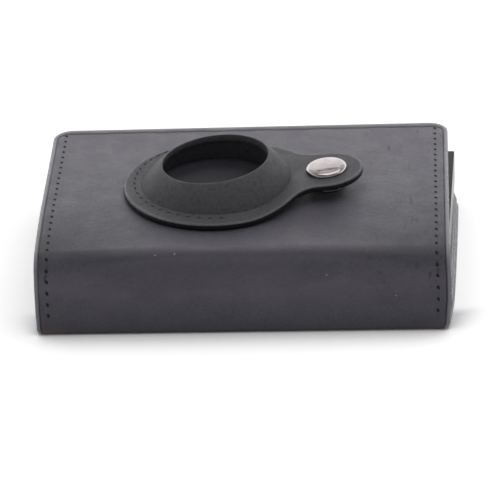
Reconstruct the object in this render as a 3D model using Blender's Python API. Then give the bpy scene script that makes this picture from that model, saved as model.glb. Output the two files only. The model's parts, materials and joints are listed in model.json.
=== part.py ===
"""Card wallet with a moulded tracker pocket, closed and lying on its back cover.

Metres, +Z up. +X is right and +Y points from the spine to the covers' free edges.
Pieces are drawn with the spine's outer face at y = 0 and the covers centred on x = 0.
The root empty then sets the middle of the whole wallet's base on the world origin.
"""
import math

import bmesh
import bpy
from mathutils import Matrix, Vector

# Covers and folds
COVER_END_MARGIN = 0.0030
LEATHER = 0.0014
TOP_FOLD_RADIUS = 0.0035
BOTTOM_FOLD_RADIUS = 0.0022
CORNER_RADIUS = 0.0055
BACK_FAN = 0.0026
FOLD_STEPS = 6
CORNER_STEPS = 6

# Inner leather
LINING = 0.0008
LAYER_GAP = 0.0003
LINING_INSET = 0.0004
SLOT_INSET = 0.0008
SLOT_START = 0.0085
SLOT_LENGTH = 0.0330
SLOT_STEP = 0.0080
SLOT_COUNT = 3
NOTE_PANEL_DROP = 0.0040
BACK_NOTE_DROP = 0.0003
BACK_SLOT_DROP = 0.0006
SPINE_LINING_MARGIN = 0.0045

# Card case
CASE_LENGTH = 0.097
CASE_DEPTH = 0.0630
CASE_HEIGHT = 0.0086
CASE_WALL = 0.0009
CASE_EDGE_RADIUS = 0.0014
CASE_TURN = math.radians(2.2)
CASE_END_INSET = 0.00075
CASE_SPINE_CLEARANCE = 0.0007
CLOSING_CLEARANCE = 0.0005
CAP_THICKNESS = 0.0030
BEZEL_LENGTH = 0.0030
BEZEL_LIP = 0.0004
PAD_THICKNESS = 0.0010
PAD_MARGIN = 0.0080
EDGE_STEPS = 4

# Felt strips
STRIP_LENGTH = 0.048
STRIP_WIDTH = 0.006
STRIP_THICKNESS = 0.0005
STRIP_FROM_MOUTH = 0.008

# Ejector lever
LEVER_SETBACK = 0.0080
LEVER_INSET = 0.0090
LEVER_ARM = 0.0380
LEVER_ARM_WIDTH = 0.0032
LEVER_HUB_RADIUS = 0.0034
HUB_OVERLAP = 0.0014
LEVER_STEPS = 3
LEVER_STEP = 0.0006
LEVER_TRAVEL = math.radians(25.0)
TAB_WIDTH = 0.0036
TAB_HEIGHT = 0.0034
TAB_PROUD = 0.0004
PIN_RADIUS = 0.0015
RUNNING_GAP = 0.0003
SPRING_RADIUS = 0.00235
SPRING_WIRE = 0.00045
SPRING_PITCH = 0.0009
SPRING_TURNS = 2
SPRING_POINTS_PER_TURN = 10

# Tracker pocket, measured from the pocket's centre
POCKET_X = -0.0071
POCKET_Y = 0.0324
WINDOW_RADIUS = 0.0130
RIM_RADIUS = 0.0146
RIM_HEIGHT = 0.0069
FOOT_RADIUS = 0.0178
FLANGE_RADIUS = 0.0229
FLANGE = 0.0015
POCKET_LEATHER = 0.0015
CAVITY_TOP_RADIUS = 0.0147
CAVITY_FLOOR_RADIUS = 0.0162
EDGE_SOFTENING = 0.0004
WALL_STEPS = 6
FLANGE_SHARES = (0.12, 0.24, 0.36, 0.50, 0.65, 0.80)
STRAP_REACH = 0.0274
STRAP_END_RADIUS = 0.0088
STRAP_FILLET = 0.0080
STRAP_END_STEPS = 9
FILLET_STEPS = 6
FREE_FLANGE_STEPS = 8
FIXED_FLANGE_STEPS = 24
STRAP_RISE = math.radians(4.8)
RISE_START = -0.0083
LIFT_START = 0.0080
LIFT_LENGTH = 0.0160

# Snap fastener
SNAP_CAP_RADIUS = 0.0051
SNAP_CAP_HEIGHT = 0.0017
SNAP_STEM_RADIUS = 0.0014
SNAP_SOCKET_RADIUS = 0.0045
SNAP_SOCKET_HEIGHT = 0.0015
SNAP_SOCKET_ROOF = 0.00045
SNAP_HEAD_RADIUS = 0.0019
SNAP_HEAD_HEIGHT = 0.0006
SNAP_NECK_RADIUS = 0.0014
SNAP_NECK_HEIGHT = 0.0007
SNAP_BASE_RADIUS = 0.0044
SNAP_BASE_HEIGHT = 0.0005
SNAP_PLAY = 0.0007
SNAP_POST_RADIUS = 0.0010
SNAP_POST_HEAD_RADIUS = 0.0036
DOME_STEPS = 6
ROUND_STEPS = 32

# Levels, worked out from the layers below them
LAYER = LINING + LAYER_GAP
BACK_LINING_Z = LEATHER + LAYER_GAP
BACK_NOTE_Z = BACK_LINING_Z + LAYER
BACK_SLOT_Z = BACK_NOTE_Z + LAYER
PAD_Z = BACK_SLOT_Z + LAYER
CASE_Z = PAD_Z + PAD_THICKNESS + LAYER_GAP
FIRST_SLOT_Z = CASE_Z + CASE_HEIGHT + CLOSING_CLEARANCE
FRONT_NOTE_Z = FIRST_SLOT_Z + SLOT_COUNT * LAYER
FRONT_LINING_Z = FRONT_NOTE_Z + LAYER
FRONT_LEATHER_Z = FRONT_LINING_Z + LAYER
COVER_TOP_Z = FRONT_LEATHER_Z + LEATHER
POCKET_Z = COVER_TOP_Z + LAYER_GAP
SPINE_INSIDE = LEATHER + LAYER_GAP + LINING

# Covers, worked out from the case that they fold round
COVER_WIDTH = CASE_LENGTH + COVER_END_MARGIN
COVER_LENGTH = SPINE_INSIDE + CASE_SPINE_CLEARANCE + CASE_DEPTH

# Where the joints turn
HALF_FOLD = math.radians(45.0)
FOLD_SETBACK = 1.0 - math.cos(HALF_FOLD)
BOTTOM_CREASE = Vector((0.0, BOTTOM_FOLD_RADIUS * FOLD_SETBACK, BOTTOM_FOLD_RADIUS * FOLD_SETBACK))
TOP_CREASE = Vector((0.0, TOP_FOLD_RADIUS * FOLD_SETBACK, COVER_TOP_Z - TOP_FOLD_RADIUS * FOLD_SETBACK))
LEVER_PIVOT = Vector((-LEVER_SETBACK, LEVER_INSET, 0.0))
CASE_CORNER = Vector((COVER_WIDTH / 2 - CASE_END_INSET, SPINE_INSIDE + CASE_SPINE_CLEARANCE, CASE_Z))


def smooth(share):
    """A smooth step from 0 to 1."""
    share = min(1.0, max(0.0, share))
    return share * share * (3.0 - 2.0 * share)


def rise(x, share=0.0):
    """Climb of the pocket's leather towards the snap, at x from the pocket's centre.

    The rim, with a share of 1, leans all the way. The flange, with a share of 0, lies flat and only
    lifts on its way to the strap.
    """
    lift = smooth((x - LIFT_START) / LIFT_LENGTH)
    return (x - RISE_START) * math.tan(STRAP_RISE) * (share + (1.0 - share) * lift)


FLAP_AXIS = Vector((POCKET_X, POCKET_Y, POCKET_Z + rise(0.0, 1.0) + RIM_HEIGHT))
SNAP_CENTRE = Vector((POCKET_X + STRAP_REACH, POCKET_Y, 0.0))


# Scene and object helpers
def clear_scene():
    for item in list(bpy.data.objects):
        bpy.data.objects.remove(item, do_unlink=True)


def make_material(name, colour, roughness, metallic=0.0):
    material = bpy.data.materials.new(name)
    material.use_nodes = True
    shader = material.node_tree.nodes["Principled BSDF"]
    shader.inputs["Base Color"].default_value = (*colour, 1.0)
    shader.inputs["Roughness"].default_value = roughness
    shader.inputs["Metallic"].default_value = metallic
    return material


def make_empty(name, place, parent=None):
    """Add an empty at a place given in the drawing's coordinates."""
    empty = bpy.data.objects.new(name, None)
    empty.empty_display_size = 0.01
    empty["place"] = tuple(place)
    empty.location = place if parent is None else Vector(place) - Vector(parent["place"])
    empty.parent = parent
    bpy.context.collection.objects.link(empty)
    return empty


def finish_mesh(name, form):
    """Turn a bmesh into a mesh whose faces point outwards."""
    bmesh.ops.recalc_face_normals(form, faces=form.faces)
    mesh = bpy.data.meshes.new(name)
    form.to_mesh(mesh)
    form.free()
    return mesh


def add_piece(name, form, look, parent, smooth=False):
    """Add one piece whose mesh is drawn in the drawing's coordinates."""
    mesh = finish_mesh(name, form)
    piece = bpy.data.objects.new(name, mesh)
    mesh.materials.append(make_material(name, *LOOKS[look]))
    mesh.transform(into_space_of(parent))
    piece.parent = parent
    bpy.context.collection.objects.link(piece)
    if smooth:
        mesh.shade_smooth()
        mesh.set_sharp_from_angle(angle=math.radians(35.0))
    return piece


def into_space_of(empty):
    """The matrix that takes the drawing's coordinates to the space of an empty."""
    return Matrix.Translation(-Vector(empty["place"]))


def cut(piece, form, name):
    """Take the bmesh form, drawn in the drawing's coordinates, out of a piece."""
    cutter = bpy.data.objects.new(name, finish_mesh(name, form))
    cutter.data.transform(into_space_of(piece.parent))
    cutter.parent = piece.parent
    cutter.hide_render = True
    cutter.display_type = "WIRE"
    bpy.context.collection.objects.link(cutter)
    modifier = piece.modifiers.new(name, "BOOLEAN")
    modifier.operation = "DIFFERENCE"
    modifier.solver = "EXACT"
    modifier.object = cutter


# Shapes
def arc(centre, radius, start, end, steps):
    """Points on an arc in a plane, from one angle to another."""
    turn = (end - start) / steps
    angles = [start + turn * step for step in range(steps + 1)]
    return [(centre[0] + radius * math.cos(a), centre[1] + radius * math.sin(a)) for a in angles]


def loft(loops, closed=False):
    """Join point loops of equal length into one closed body, capped unless it runs round."""
    form = bmesh.new()
    rings = [[form.verts.new(point) for point in loop] for loop in loops]
    pairs = list(zip(rings, rings[1:]))
    if closed:
        pairs.append((rings[-1], rings[0]))
    for first, second in pairs:
        for here in range(len(first)):
            ahead = (here + 1) % len(first)
            form.faces.new((first[here], first[ahead], second[ahead], second[here]))
    if not closed:
        form.faces.new(rings[0])
        form.faces.new(list(reversed(rings[-1])))
    return form


def extrude_along_x(outline, low, high):
    """A prism from an outline of (y, z) points."""
    return loft([[(x, y, z) for y, z in outline] for x in (low, high)])


def box(low, high):
    outline = [(low[1], low[2]), (high[1], low[2]), (high[1], high[2]), (low[1], high[2])]
    return extrude_along_x(outline, low[0], high[0])


def cylinder(centre, radius, low, high, steps=ROUND_STEPS):
    circle = arc((centre[0], centre[1]), radius, 0.0, math.tau * (steps - 1) / steps, steps - 1)
    return loft([[(x, y, z) for x, y in circle] for z in (low, high)])


def turned(profile, centre, lean=0.0, steps=ROUND_STEPS):
    """Turn a closed profile of (radius, height) points that starts and ends on the axis."""
    form = bmesh.new()
    verts = [form.verts.new((radius, 0.0, height)) for radius, height in profile]
    edges = [form.edges.new(pair) for pair in zip(verts, verts[1:])]
    bmesh.ops.spin(form, geom=verts + edges, cent=(0, 0, 0), axis=(0, 0, 1), angle=math.tau, steps=steps)
    bmesh.ops.remove_doubles(form, verts=form.verts, dist=1e-6)
    for vert in form.verts:
        x, z = vert.co.x, vert.co.z
        vert.co.x = centre[0] + x * math.cos(lean) - z * math.sin(lean)
        vert.co.y += centre[1]
        vert.co.z = centre[2] + x * math.sin(lean) + z * math.cos(lean)
    return form


def rounded_rectangle(low, high, radius, steps=EDGE_STEPS):
    """Corner-rounded outline from one (a, b) corner to the other."""
    quarter = math.pi / 2
    centres = [(high[0] - radius, high[1] - radius), (low[0] + radius, high[1] - radius),
               (low[0] + radius, low[1] + radius), (high[0] - radius, low[1] + radius)]
    points = []
    for number, centre in enumerate(centres):
        points += arc(centre, radius, quarter * number, quarter * (number + 1), steps)
    return points


def tube_along_x(outer, inner, low, high):
    """A sleeve between two outlines of (y, z) points with equal counts."""
    loops = [[(x, y, z) for y, z in outline] for outline, x in
             ((outer, low), (outer, high), (inner, high), (inner, low))]
    return loft(loops, closed=True)


def round_far_corners(form, radius):
    """Round a panel's two upright edges at its free end."""
    far = max(vert.co.y for vert in form.verts)
    edges = [edge for edge in form.edges
             if all(abs(vert.co.y - far) < 1e-6 for vert in edge.verts)
             and abs(edge.verts[0].co.x - edge.verts[1].co.x) < 1e-6]
    bmesh.ops.bevel(form, geom=edges, offset=radius, offset_type="OFFSET", segments=CORNER_STEPS,
                    profile=0.5, affect="EDGES")
    return form


def fan(form):
    """Slant a back panel: its free end stands out to the right and lies square with the case."""
    for vert in form.verts:
        share = vert.co.y / COVER_LENGTH
        vert.co.y += (COVER_WIDTH / 2 - vert.co.x) * math.tan(CASE_TURN) * share
        vert.co.x += BACK_FAN * share
    return form


def panel(inset, near, far, low, thickness, radius):
    """A flat leather panel across the cover, with its free corners rounded."""
    half = COVER_WIDTH / 2 - inset
    return round_far_corners(box((-half, near, low), (half, far, low + thickness)), radius)


# Outer leather
def fold_arc(radius, centre, start_degrees, end_degrees):
    """Outer arc out and inner arc back, as two lists of (y, z) points."""
    start, end = math.radians(start_degrees), math.radians(end_degrees)
    outer = arc(centre, radius, start, end, FOLD_STEPS)
    inner = arc(centre, radius - LEATHER, end, start, FOLD_STEPS)
    return outer, inner


def crease_gap(radius):
    """Half of the gap at a crease, in degrees of the fold's arc."""
    return math.degrees(LAYER_GAP / 2 / radius)


def make_front_cover(parent):
    centre = (TOP_FOLD_RADIUS, COVER_TOP_Z - TOP_FOLD_RADIUS)
    outer, inner = fold_arc(TOP_FOLD_RADIUS, centre, 135.0 - crease_gap(TOP_FOLD_RADIUS), 90.0)
    outline = outer + [(COVER_LENGTH, COVER_TOP_Z), (COVER_LENGTH, FRONT_LEATHER_Z)] + inner
    form = extrude_along_x(outline, -COVER_WIDTH / 2, COVER_WIDTH / 2)
    piece = add_piece("front_cover_leather", round_far_corners(form, CORNER_RADIUS), "leather", parent, True)
    low, high = FRONT_LEATHER_Z - LEATHER, COVER_TOP_Z + LEATHER
    hole = cylinder(SNAP_CENTRE, SNAP_POST_RADIUS + LAYER_GAP, low, high)
    cut(piece, hole, "cover_post_hole")


def make_spine(parent):
    top = (TOP_FOLD_RADIUS, COVER_TOP_Z - TOP_FOLD_RADIUS)
    bottom = (BOTTOM_FOLD_RADIUS, BOTTOM_FOLD_RADIUS)
    upper, upper_back = fold_arc(TOP_FOLD_RADIUS, top, 180.0, 135.0 + crease_gap(TOP_FOLD_RADIUS))
    lower, lower_back = fold_arc(BOTTOM_FOLD_RADIUS, bottom, 225.0 - crease_gap(BOTTOM_FOLD_RADIUS), 180.0)
    outline = lower + upper + upper_back + lower_back
    form = extrude_along_x(outline, -COVER_WIDTH / 2, COVER_WIDTH / 2)
    add_piece("spine_leather", form, "leather", parent, True)
    half = COVER_WIDTH / 2 - LINING_INSET
    low = (-half, LEATHER + LAYER_GAP, SPINE_LINING_MARGIN)
    high = (half, SPINE_INSIDE, COVER_TOP_Z - SPINE_LINING_MARGIN)
    add_piece("spine_lining", box(low, high), "lining", parent)


def make_back_cover(parent):
    centre = (BOTTOM_FOLD_RADIUS, BOTTOM_FOLD_RADIUS)
    outer, inner = fold_arc(BOTTOM_FOLD_RADIUS, centre, 225.0 + crease_gap(BOTTOM_FOLD_RADIUS), 270.0)
    outline = outer + [(COVER_LENGTH, 0.0), (COVER_LENGTH, LEATHER)] + inner
    form = extrude_along_x(outline, -COVER_WIDTH / 2, COVER_WIDTH / 2)
    add_piece("back_cover_leather", fan(round_far_corners(form, CORNER_RADIUS)), "leather", parent, True)


# Inner panels
def make_back_panels(parent):
    layers = (("back_lining", LINING_INSET, BACK_LINING_Z, 0.0),
              ("back_note_panel", LINING_INSET, BACK_NOTE_Z, BACK_NOTE_DROP),
              ("back_card_slot", SLOT_INSET, BACK_SLOT_Z, BACK_SLOT_DROP))
    for name, inset, low, drop in layers:
        far = COVER_LENGTH - LINING_INSET - drop
        form = panel(inset, SLOT_START, far, low, LINING, CORNER_RADIUS - LINING_INSET)
        add_piece(name, fan(form), "lining", parent)


def make_front_panels(parent):
    far = COVER_LENGTH - LINING_INSET
    radius = CORNER_RADIUS - LINING_INSET
    lining = panel(LINING_INSET, SLOT_START, far, FRONT_LINING_Z, LINING, radius)
    piece = add_piece("front_lining", lining, "lining", parent)
    hole = cylinder(SNAP_CENTRE, SNAP_POST_HEAD_RADIUS + LAYER_GAP, FRONT_LINING_Z - LINING,
                    FRONT_LEATHER_Z - LAYER_GAP / 2)
    cut(piece, hole, "lining_post_hole")
    note = panel(LINING_INSET, SLOT_START, far - NOTE_PANEL_DROP, FRONT_NOTE_Z, LINING, radius)
    add_piece("front_note_panel", note, "lining", parent)
    for number in range(SLOT_COUNT):
        end = SLOT_START + SLOT_LENGTH + SLOT_STEP * number
        slot = panel(SLOT_INSET, SLOT_START, end, FIRST_SLOT_Z + LAYER * number, LINING, LINING)
        add_piece(f"front_card_slot_{number + 1}", slot, "lining", parent)


# Card case, drawn from its near right bottom corner before it is turned
def case_outline(shrink):
    low = (shrink, shrink)
    high = (CASE_DEPTH - shrink, CASE_HEIGHT - shrink)
    return rounded_rectangle(low, high, CASE_EDGE_RADIUS - min(shrink, CASE_EDGE_RADIUS / 2))


def make_case_shell(parent):
    low, high = -CASE_LENGTH + BEZEL_LENGTH + LAYER_GAP, -CAP_THICKNESS - LAYER_GAP
    form = tube_along_x(case_outline(0.0), case_outline(CASE_WALL), low, high)
    piece = add_piece("card_case_shell", form, "metal", parent, True)
    hole = cylinder(LEVER_PIVOT, PIN_RADIUS + RUNNING_GAP, -CASE_WALL, CASE_HEIGHT + CASE_WALL)
    cut(piece, hole, "pin_hole")


def make_case_ends(parent):
    low = -CASE_LENGTH
    bezel = tube_along_x(case_outline(0.0), case_outline(CASE_WALL + BEZEL_LIP), low, low + BEZEL_LENGTH)
    add_piece("case_mouth_bezel", bezel, "plastic", parent, True)
    cap = extrude_along_x(case_outline(0.0), -CAP_THICKNESS, 0.0)
    piece = add_piece("case_end_cap", cap, "plastic", parent, True)
    reach = LEVER_SETBACK + TAB_PROUD
    tab_top = reach * math.sin(LEVER_TRAVEL) + TAB_WIDTH / 2
    slot_low = (-CAP_THICKNESS * 2, LEVER_INSET - TAB_WIDTH / 2 - RUNNING_GAP, tab_base() - RUNNING_GAP)
    slot_high = (CAP_THICKNESS, LEVER_INSET + tab_top + RUNNING_GAP, tab_base() + TAB_HEIGHT + RUNNING_GAP)
    cut(piece, box(slot_low, slot_high), "tab_slot")


def make_felt_strips(parent):
    low_x = -CASE_LENGTH + STRIP_FROM_MOUTH
    near = (CASE_DEPTH - STRIP_WIDTH) / 2
    floor = CASE_WALL + LAYER_GAP
    roof = CASE_HEIGHT - CASE_WALL - LAYER_GAP - STRIP_THICKNESS
    for name, low_z in (("felt_strip_lower", floor), ("felt_strip_upper", roof)):
        low = (low_x, near, low_z)
        high = (low_x + STRIP_LENGTH, near + STRIP_WIDTH, low_z + STRIP_THICKNESS)
        add_piece(name, box(low, high), "felt", parent)


def make_case_pad(parent):
    low = (-CASE_LENGTH + PAD_MARGIN, PAD_MARGIN)
    high = (-PAD_MARGIN, CASE_DEPTH - PAD_MARGIN)
    outline = rounded_rectangle(low, high, CORNER_RADIUS, CORNER_STEPS)
    base = -LAYER_GAP - PAD_THICKNESS
    form = loft([[(x, y, z) for x, y in outline] for z in (base, -LAYER_GAP)])
    add_piece("case_seat_pad", form, "lining", parent, True)


# Ejector lever
def spring_base():
    return CASE_WALL + RUNNING_GAP


def tab_base():
    """Height of the lever's hub and tab, which clear the spring under them."""
    return spring_base() + SPRING_PITCH * SPRING_TURNS + SPRING_WIRE + RUNNING_GAP


def lever_arm():
    """The arm along the case's closed end, with a stair on its card side."""
    low, high = CASE_WALL + RUNNING_GAP, CASE_HEIGHT - CASE_WALL - RUNNING_GAP
    tread = (high - low) / LEVER_STEPS
    back = LEVER_ARM_WIDTH / 2
    outline = [(back, high), (back, low)]
    for step in range(LEVER_STEPS):
        front = -LEVER_ARM_WIDTH / 2 - LEVER_STEP * step
        outline += [(front, low + tread * step), (front, low + tread * (step + 1))]
    near, far = LEVER_HUB_RADIUS - HUB_OVERLAP, LEVER_ARM
    return loft([[(x + LEVER_PIVOT.x, y + LEVER_PIVOT.y, z) for x, z in outline] for y in (near, far)])


def make_lever(parent):
    roof = CASE_HEIGHT - CASE_WALL - RUNNING_GAP
    hub = cylinder(LEVER_PIVOT, LEVER_HUB_RADIUS, tab_base(), roof)
    piece = add_piece("ejector_lever", hub, "plastic", parent, True)
    tab_low = (LEVER_PIVOT.x + LEVER_HUB_RADIUS - HUB_OVERLAP, LEVER_INSET - TAB_WIDTH / 2, tab_base())
    tab_high = (TAB_PROUD, LEVER_INSET + TAB_WIDTH / 2, tab_base() + TAB_HEIGHT)
    join(piece, box(tab_low, tab_high), "lever_tab")
    join(piece, lever_arm(), "lever_arm")
    spring_room = cylinder(LEVER_PIVOT, LEVER_HUB_RADIUS, 0.0, tab_base())
    cut(piece, spring_room, "spring_room")
    hole = cylinder(LEVER_PIVOT, PIN_RADIUS + RUNNING_GAP, 0.0, CASE_HEIGHT)
    cut(piece, hole, "lever_hole")


def join(piece, form, name):
    """Merge the bmesh form into a piece."""
    cut(piece, form, name)
    piece.modifiers[name].operation = "UNION"


def make_lever_pin(parent):
    pin = cylinder(LEVER_PIVOT, PIN_RADIUS, 0.0, CASE_HEIGHT)
    add_piece("lever_pivot_pin", pin, "metal", parent, True)


def make_lever_spring(parent):
    """Two open turns of wire round the pin, under the lever's hub."""
    count = SPRING_TURNS * SPRING_POINTS_PER_TURN
    curve = bpy.data.curves.new("lever_return_spring", "CURVE")
    curve.dimensions = "3D"
    curve.bevel_depth = SPRING_WIRE / 2
    curve.bevel_resolution = 1
    curve.use_fill_caps = True
    spline = curve.splines.new("POLY")
    spline.points.add(count)
    base = spring_base() + SPRING_WIRE / 2
    for number in range(count + 1):
        angle = math.tau * number / SPRING_POINTS_PER_TURN
        height = base + SPRING_PITCH * number / SPRING_POINTS_PER_TURN
        x = LEVER_PIVOT.x + SPRING_RADIUS * math.cos(angle)
        y = LEVER_PIVOT.y + SPRING_RADIUS * math.sin(angle)
        spline.points[number].co = (x, y, height, 1.0)
    spring = bpy.data.objects.new("lever_return_spring", curve)
    curve.materials.append(make_material("lever_return_spring", *LOOKS["metal"]))
    spring.parent = parent
    bpy.context.collection.objects.link(spring)


# Tracker pocket
def pocket_profile(outer_radius):
    """Closed outline of the moulded leather as (radius, height), at one direction from the centre."""
    points = [(WINDOW_RADIUS, RIM_HEIGHT - POCKET_LEATHER), (WINDOW_RADIUS, RIM_HEIGHT - EDGE_SOFTENING),
              (WINDOW_RADIUS + EDGE_SOFTENING, RIM_HEIGHT)]
    for step in range(WALL_STEPS + 1):
        share = step / WALL_STEPS
        radius = RIM_RADIUS + (FOOT_RADIUS - RIM_RADIUS) * share
        points.append((radius, RIM_HEIGHT + (FLANGE - RIM_HEIGHT) * smooth(share)))
    reach = outer_radius - FOOT_RADIUS
    points += [(FOOT_RADIUS + reach * share, FLANGE) for share in FLANGE_SHARES]
    points += [(outer_radius - EDGE_SOFTENING, FLANGE), (outer_radius, FLANGE - EDGE_SOFTENING),
               (outer_radius, 0.0)]
    points += [(FOOT_RADIUS + reach * share, 0.0) for share in reversed(FLANGE_SHARES)]
    for step in range(WALL_STEPS + 1):
        share = step / WALL_STEPS
        radius = CAVITY_FLOOR_RADIUS + (CAVITY_TOP_RADIUS - CAVITY_FLOOR_RADIUS) * share
        points.append((radius, (RIM_HEIGHT - POCKET_LEATHER) * smooth(share)))
    return points


def strap_outline():
    """Half of the strap's outline as (angle, radius) about the pocket's centre, tip first."""
    reach = FLANGE_RADIUS + STRAP_FILLET
    span = STRAP_END_RADIUS + STRAP_FILLET
    bend = math.acos((reach ** 2 + STRAP_REACH ** 2 - span ** 2) / (2 * reach * STRAP_REACH))
    centre = (reach * math.cos(bend), reach * math.sin(bend))
    lean = math.atan2(centre[1], centre[0] - STRAP_REACH)
    tip = arc((STRAP_REACH, 0.0), STRAP_END_RADIUS, 0.0, lean, STRAP_END_STEPS)
    fillet = arc(centre, STRAP_FILLET, lean - math.pi, bend - math.pi, FILLET_STEPS)
    flange = arc((0.0, 0.0), FLANGE_RADIUS, bend, math.pi / 2, FREE_FLANGE_STEPS)
    return [(math.atan2(y, x), math.hypot(x, y)) for x, y in tip + fillet[1:] + flange[1:]]


def pocket_half(rays, side):
    """One half of the pocket from (angle, outer radius) rays, kept half a gap off the centre line."""
    loops = []
    for angle, outer_radius in rays:
        loop = []
        for radius, height in pocket_profile(outer_radius):
            x = radius * math.cos(angle)
            if abs(x) < LAYER_GAP / 2:
                x = side * LAYER_GAP / 2
            share = max(0.0, (height - FLANGE) / (RIM_HEIGHT - FLANGE))
            lifted = POCKET_Z + rise(x, share) + height
            loop.append((POCKET_X + x, POCKET_Y + radius * math.sin(angle), lifted))
        loops.append(loop)
    return loft(loops)


def make_pocket_halves(fixed_parent, free_parent):
    upper = strap_outline()
    rays = [(-angle, radius) for angle, radius in reversed(upper)] + upper[1:]
    piece = add_piece("pocket_free_half", pocket_half(rays, 1.0), "leather", free_parent, True)
    hole = cylinder(SNAP_CENTRE, SNAP_STEM_RADIUS + LAYER_GAP, POCKET_Z, POCKET_Z + RIM_HEIGHT * 2)
    cut(piece, hole, "strap_hole")
    turn = math.pi / FIXED_FLANGE_STEPS
    rays = [(math.pi / 2 + turn * step, FLANGE_RADIUS) for step in range(FIXED_FLANGE_STEPS + 1)]
    add_piece("pocket_fixed_half", pocket_half(rays, -1.0), "leather", fixed_parent, True)


# Snap fastener
def make_snap_stud(parent):
    neck = SNAP_BASE_HEIGHT + SNAP_NECK_HEIGHT
    top = neck + SNAP_HEAD_HEIGHT
    profile = [(0.0, 0.0), (SNAP_BASE_RADIUS, 0.0), (SNAP_BASE_RADIUS, SNAP_BASE_HEIGHT),
               (SNAP_NECK_RADIUS, SNAP_BASE_HEIGHT), (SNAP_NECK_RADIUS, neck - SNAP_HEAD_HEIGHT / 4),
               (SNAP_HEAD_RADIUS, neck), (SNAP_HEAD_RADIUS, top - SNAP_HEAD_HEIGHT / 3),
               (SNAP_HEAD_RADIUS * 0.75, top), (0.0, top)]
    centre = (SNAP_CENTRE.x, SNAP_CENTRE.y, POCKET_Z)
    add_piece("snap_stud", turned(profile, centre), "nickel", parent, True)


def make_snap_post(parent):
    length = COVER_TOP_Z - FRONT_LINING_Z
    profile = [(0.0, 0.0), (SNAP_POST_HEAD_RADIUS, 0.0), (SNAP_POST_HEAD_RADIUS, LINING),
               (SNAP_POST_RADIUS, LINING), (SNAP_POST_RADIUS, length), (0.0, length)]
    centre = (SNAP_CENTRE.x, SNAP_CENTRE.y, FRONT_LINING_Z)
    add_piece("snap_post", turned(profile, centre), "nickel", parent, True)


def strap_underside():
    return POCKET_Z + rise(STRAP_REACH)


def make_snap_cap(parent):
    """Domed cap with a stem through the strap, leaning with the strap."""
    stem = -LAYER_GAP - FLANGE
    edge = SNAP_CAP_RADIUS
    profile = [(0.0, stem), (SNAP_STEM_RADIUS, stem), (SNAP_STEM_RADIUS, 0.0), (edge - EDGE_SOFTENING, 0.0),
               (edge, EDGE_SOFTENING)]
    for step in range(1, DOME_STEPS):
        angle = math.pi / 2 * step / DOME_STEPS
        height = EDGE_SOFTENING + (SNAP_CAP_HEIGHT - EDGE_SOFTENING) * math.sin(angle)
        profile.append((edge * math.cos(angle) ** 0.5, height))
    profile.append((0.0, SNAP_CAP_HEIGHT))
    up = FLANGE / math.cos(STRAP_RISE) + LAYER_GAP
    centre = (SNAP_CENTRE.x - up * math.sin(STRAP_RISE), SNAP_CENTRE.y, strap_underside() + up)
    add_piece("snap_cap", turned(profile, centre, STRAP_RISE), "nickel", parent, True)


def make_snap_socket(parent):
    inside = SNAP_HEAD_RADIUS + SNAP_PLAY
    mouth, roof = -SNAP_SOCKET_HEIGHT, -SNAP_SOCKET_ROOF
    profile = [(0.0, roof), (inside, roof), (inside, mouth), (SNAP_SOCKET_RADIUS - EDGE_SOFTENING, mouth),
               (SNAP_SOCKET_RADIUS, mouth + EDGE_SOFTENING), (SNAP_SOCKET_RADIUS, 0.0), (0.0, 0.0)]
    centre = (SNAP_CENTRE.x, SNAP_CENTRE.y, strap_underside() - LAYER_GAP)
    add_piece("snap_socket", turned(profile, centre, STRAP_RISE), "nickel", parent, True)


LOOKS = {
    "leather": ((0.055, 0.052, 0.062), 0.62),
    "lining": ((0.040, 0.038, 0.044), 0.75),
    "metal": ((0.62, 0.63, 0.65), 0.38, 1.0),
    "nickel": ((0.83, 0.82, 0.80), 0.18, 1.0),
    "plastic": ((0.030, 0.030, 0.033), 0.45),
    "felt": ((0.090, 0.090, 0.095), 0.95),
}


def settle_on_origin(root):
    """Move the root so that the middle of the whole wallet's base is the world origin."""
    bpy.context.view_layer.update()
    points = [piece.matrix_world @ vert.co for piece in bpy.data.objects
              if piece.type == "MESH" and not piece.hide_render for vert in piece.data.vertices]
    for axis in (0, 1):
        values = [point[axis] for point in points]
        root.location[axis] = -(min(values) + max(values)) / 2
    bpy.context.view_layer.update()


def main():
    clear_scene()
    root = make_empty("wallet", (0.0, 0.0, 0.0))
    spine = make_empty("spine_fold_axis", BOTTOM_CREASE, root)
    front = make_empty("cover_fold_axis", TOP_CREASE, spine)
    flap = make_empty("pocket_flap_axis", FLAP_AXIS, front)
    case = make_empty("card_case_corner", (0.0, 0.0, 0.0), root)
    make_back_cover(root)
    make_back_panels(root)
    make_spine(spine)
    make_front_cover(front)
    make_front_panels(front)
    make_pocket_halves(front, flap)
    make_snap_stud(front)
    make_snap_post(front)
    make_snap_cap(flap)
    make_snap_socket(flap)
    make_case_pad(case)
    make_case_shell(case)
    make_case_ends(case)
    make_felt_strips(case)
    make_lever_pin(case)
    make_lever_spring(case)
    lever = make_empty("ejector_press_axis", LEVER_PIVOT, case)
    make_lever(lever)
    case.location = CASE_CORNER
    case.rotation_euler.z = -CASE_TURN
    settle_on_origin(root)
    for axis in (spine, front, flap, lever):
        print(axis.name, [round(value, 6) for value in axis.matrix_world.translation])


main()
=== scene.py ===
# %% [markdown]
# # A card wallet with a moulded tracker pocket
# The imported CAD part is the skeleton: it holds every size and every joint, and it is never changed here.
# This lesson dresses that skeleton, piece by piece, until it looks like the real wallet: folded leather
# with burnished edges, a moulded pocket, thread, a nickel snap and a metal card case.
# Everything is in metres, in the same frame as the CAD: +X right, +Y from the spine to the free edges, +Z up.

# %% Load the frame
import json
import math

import bmesh
import bpy
from mathutils import Matrix, Vector


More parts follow.
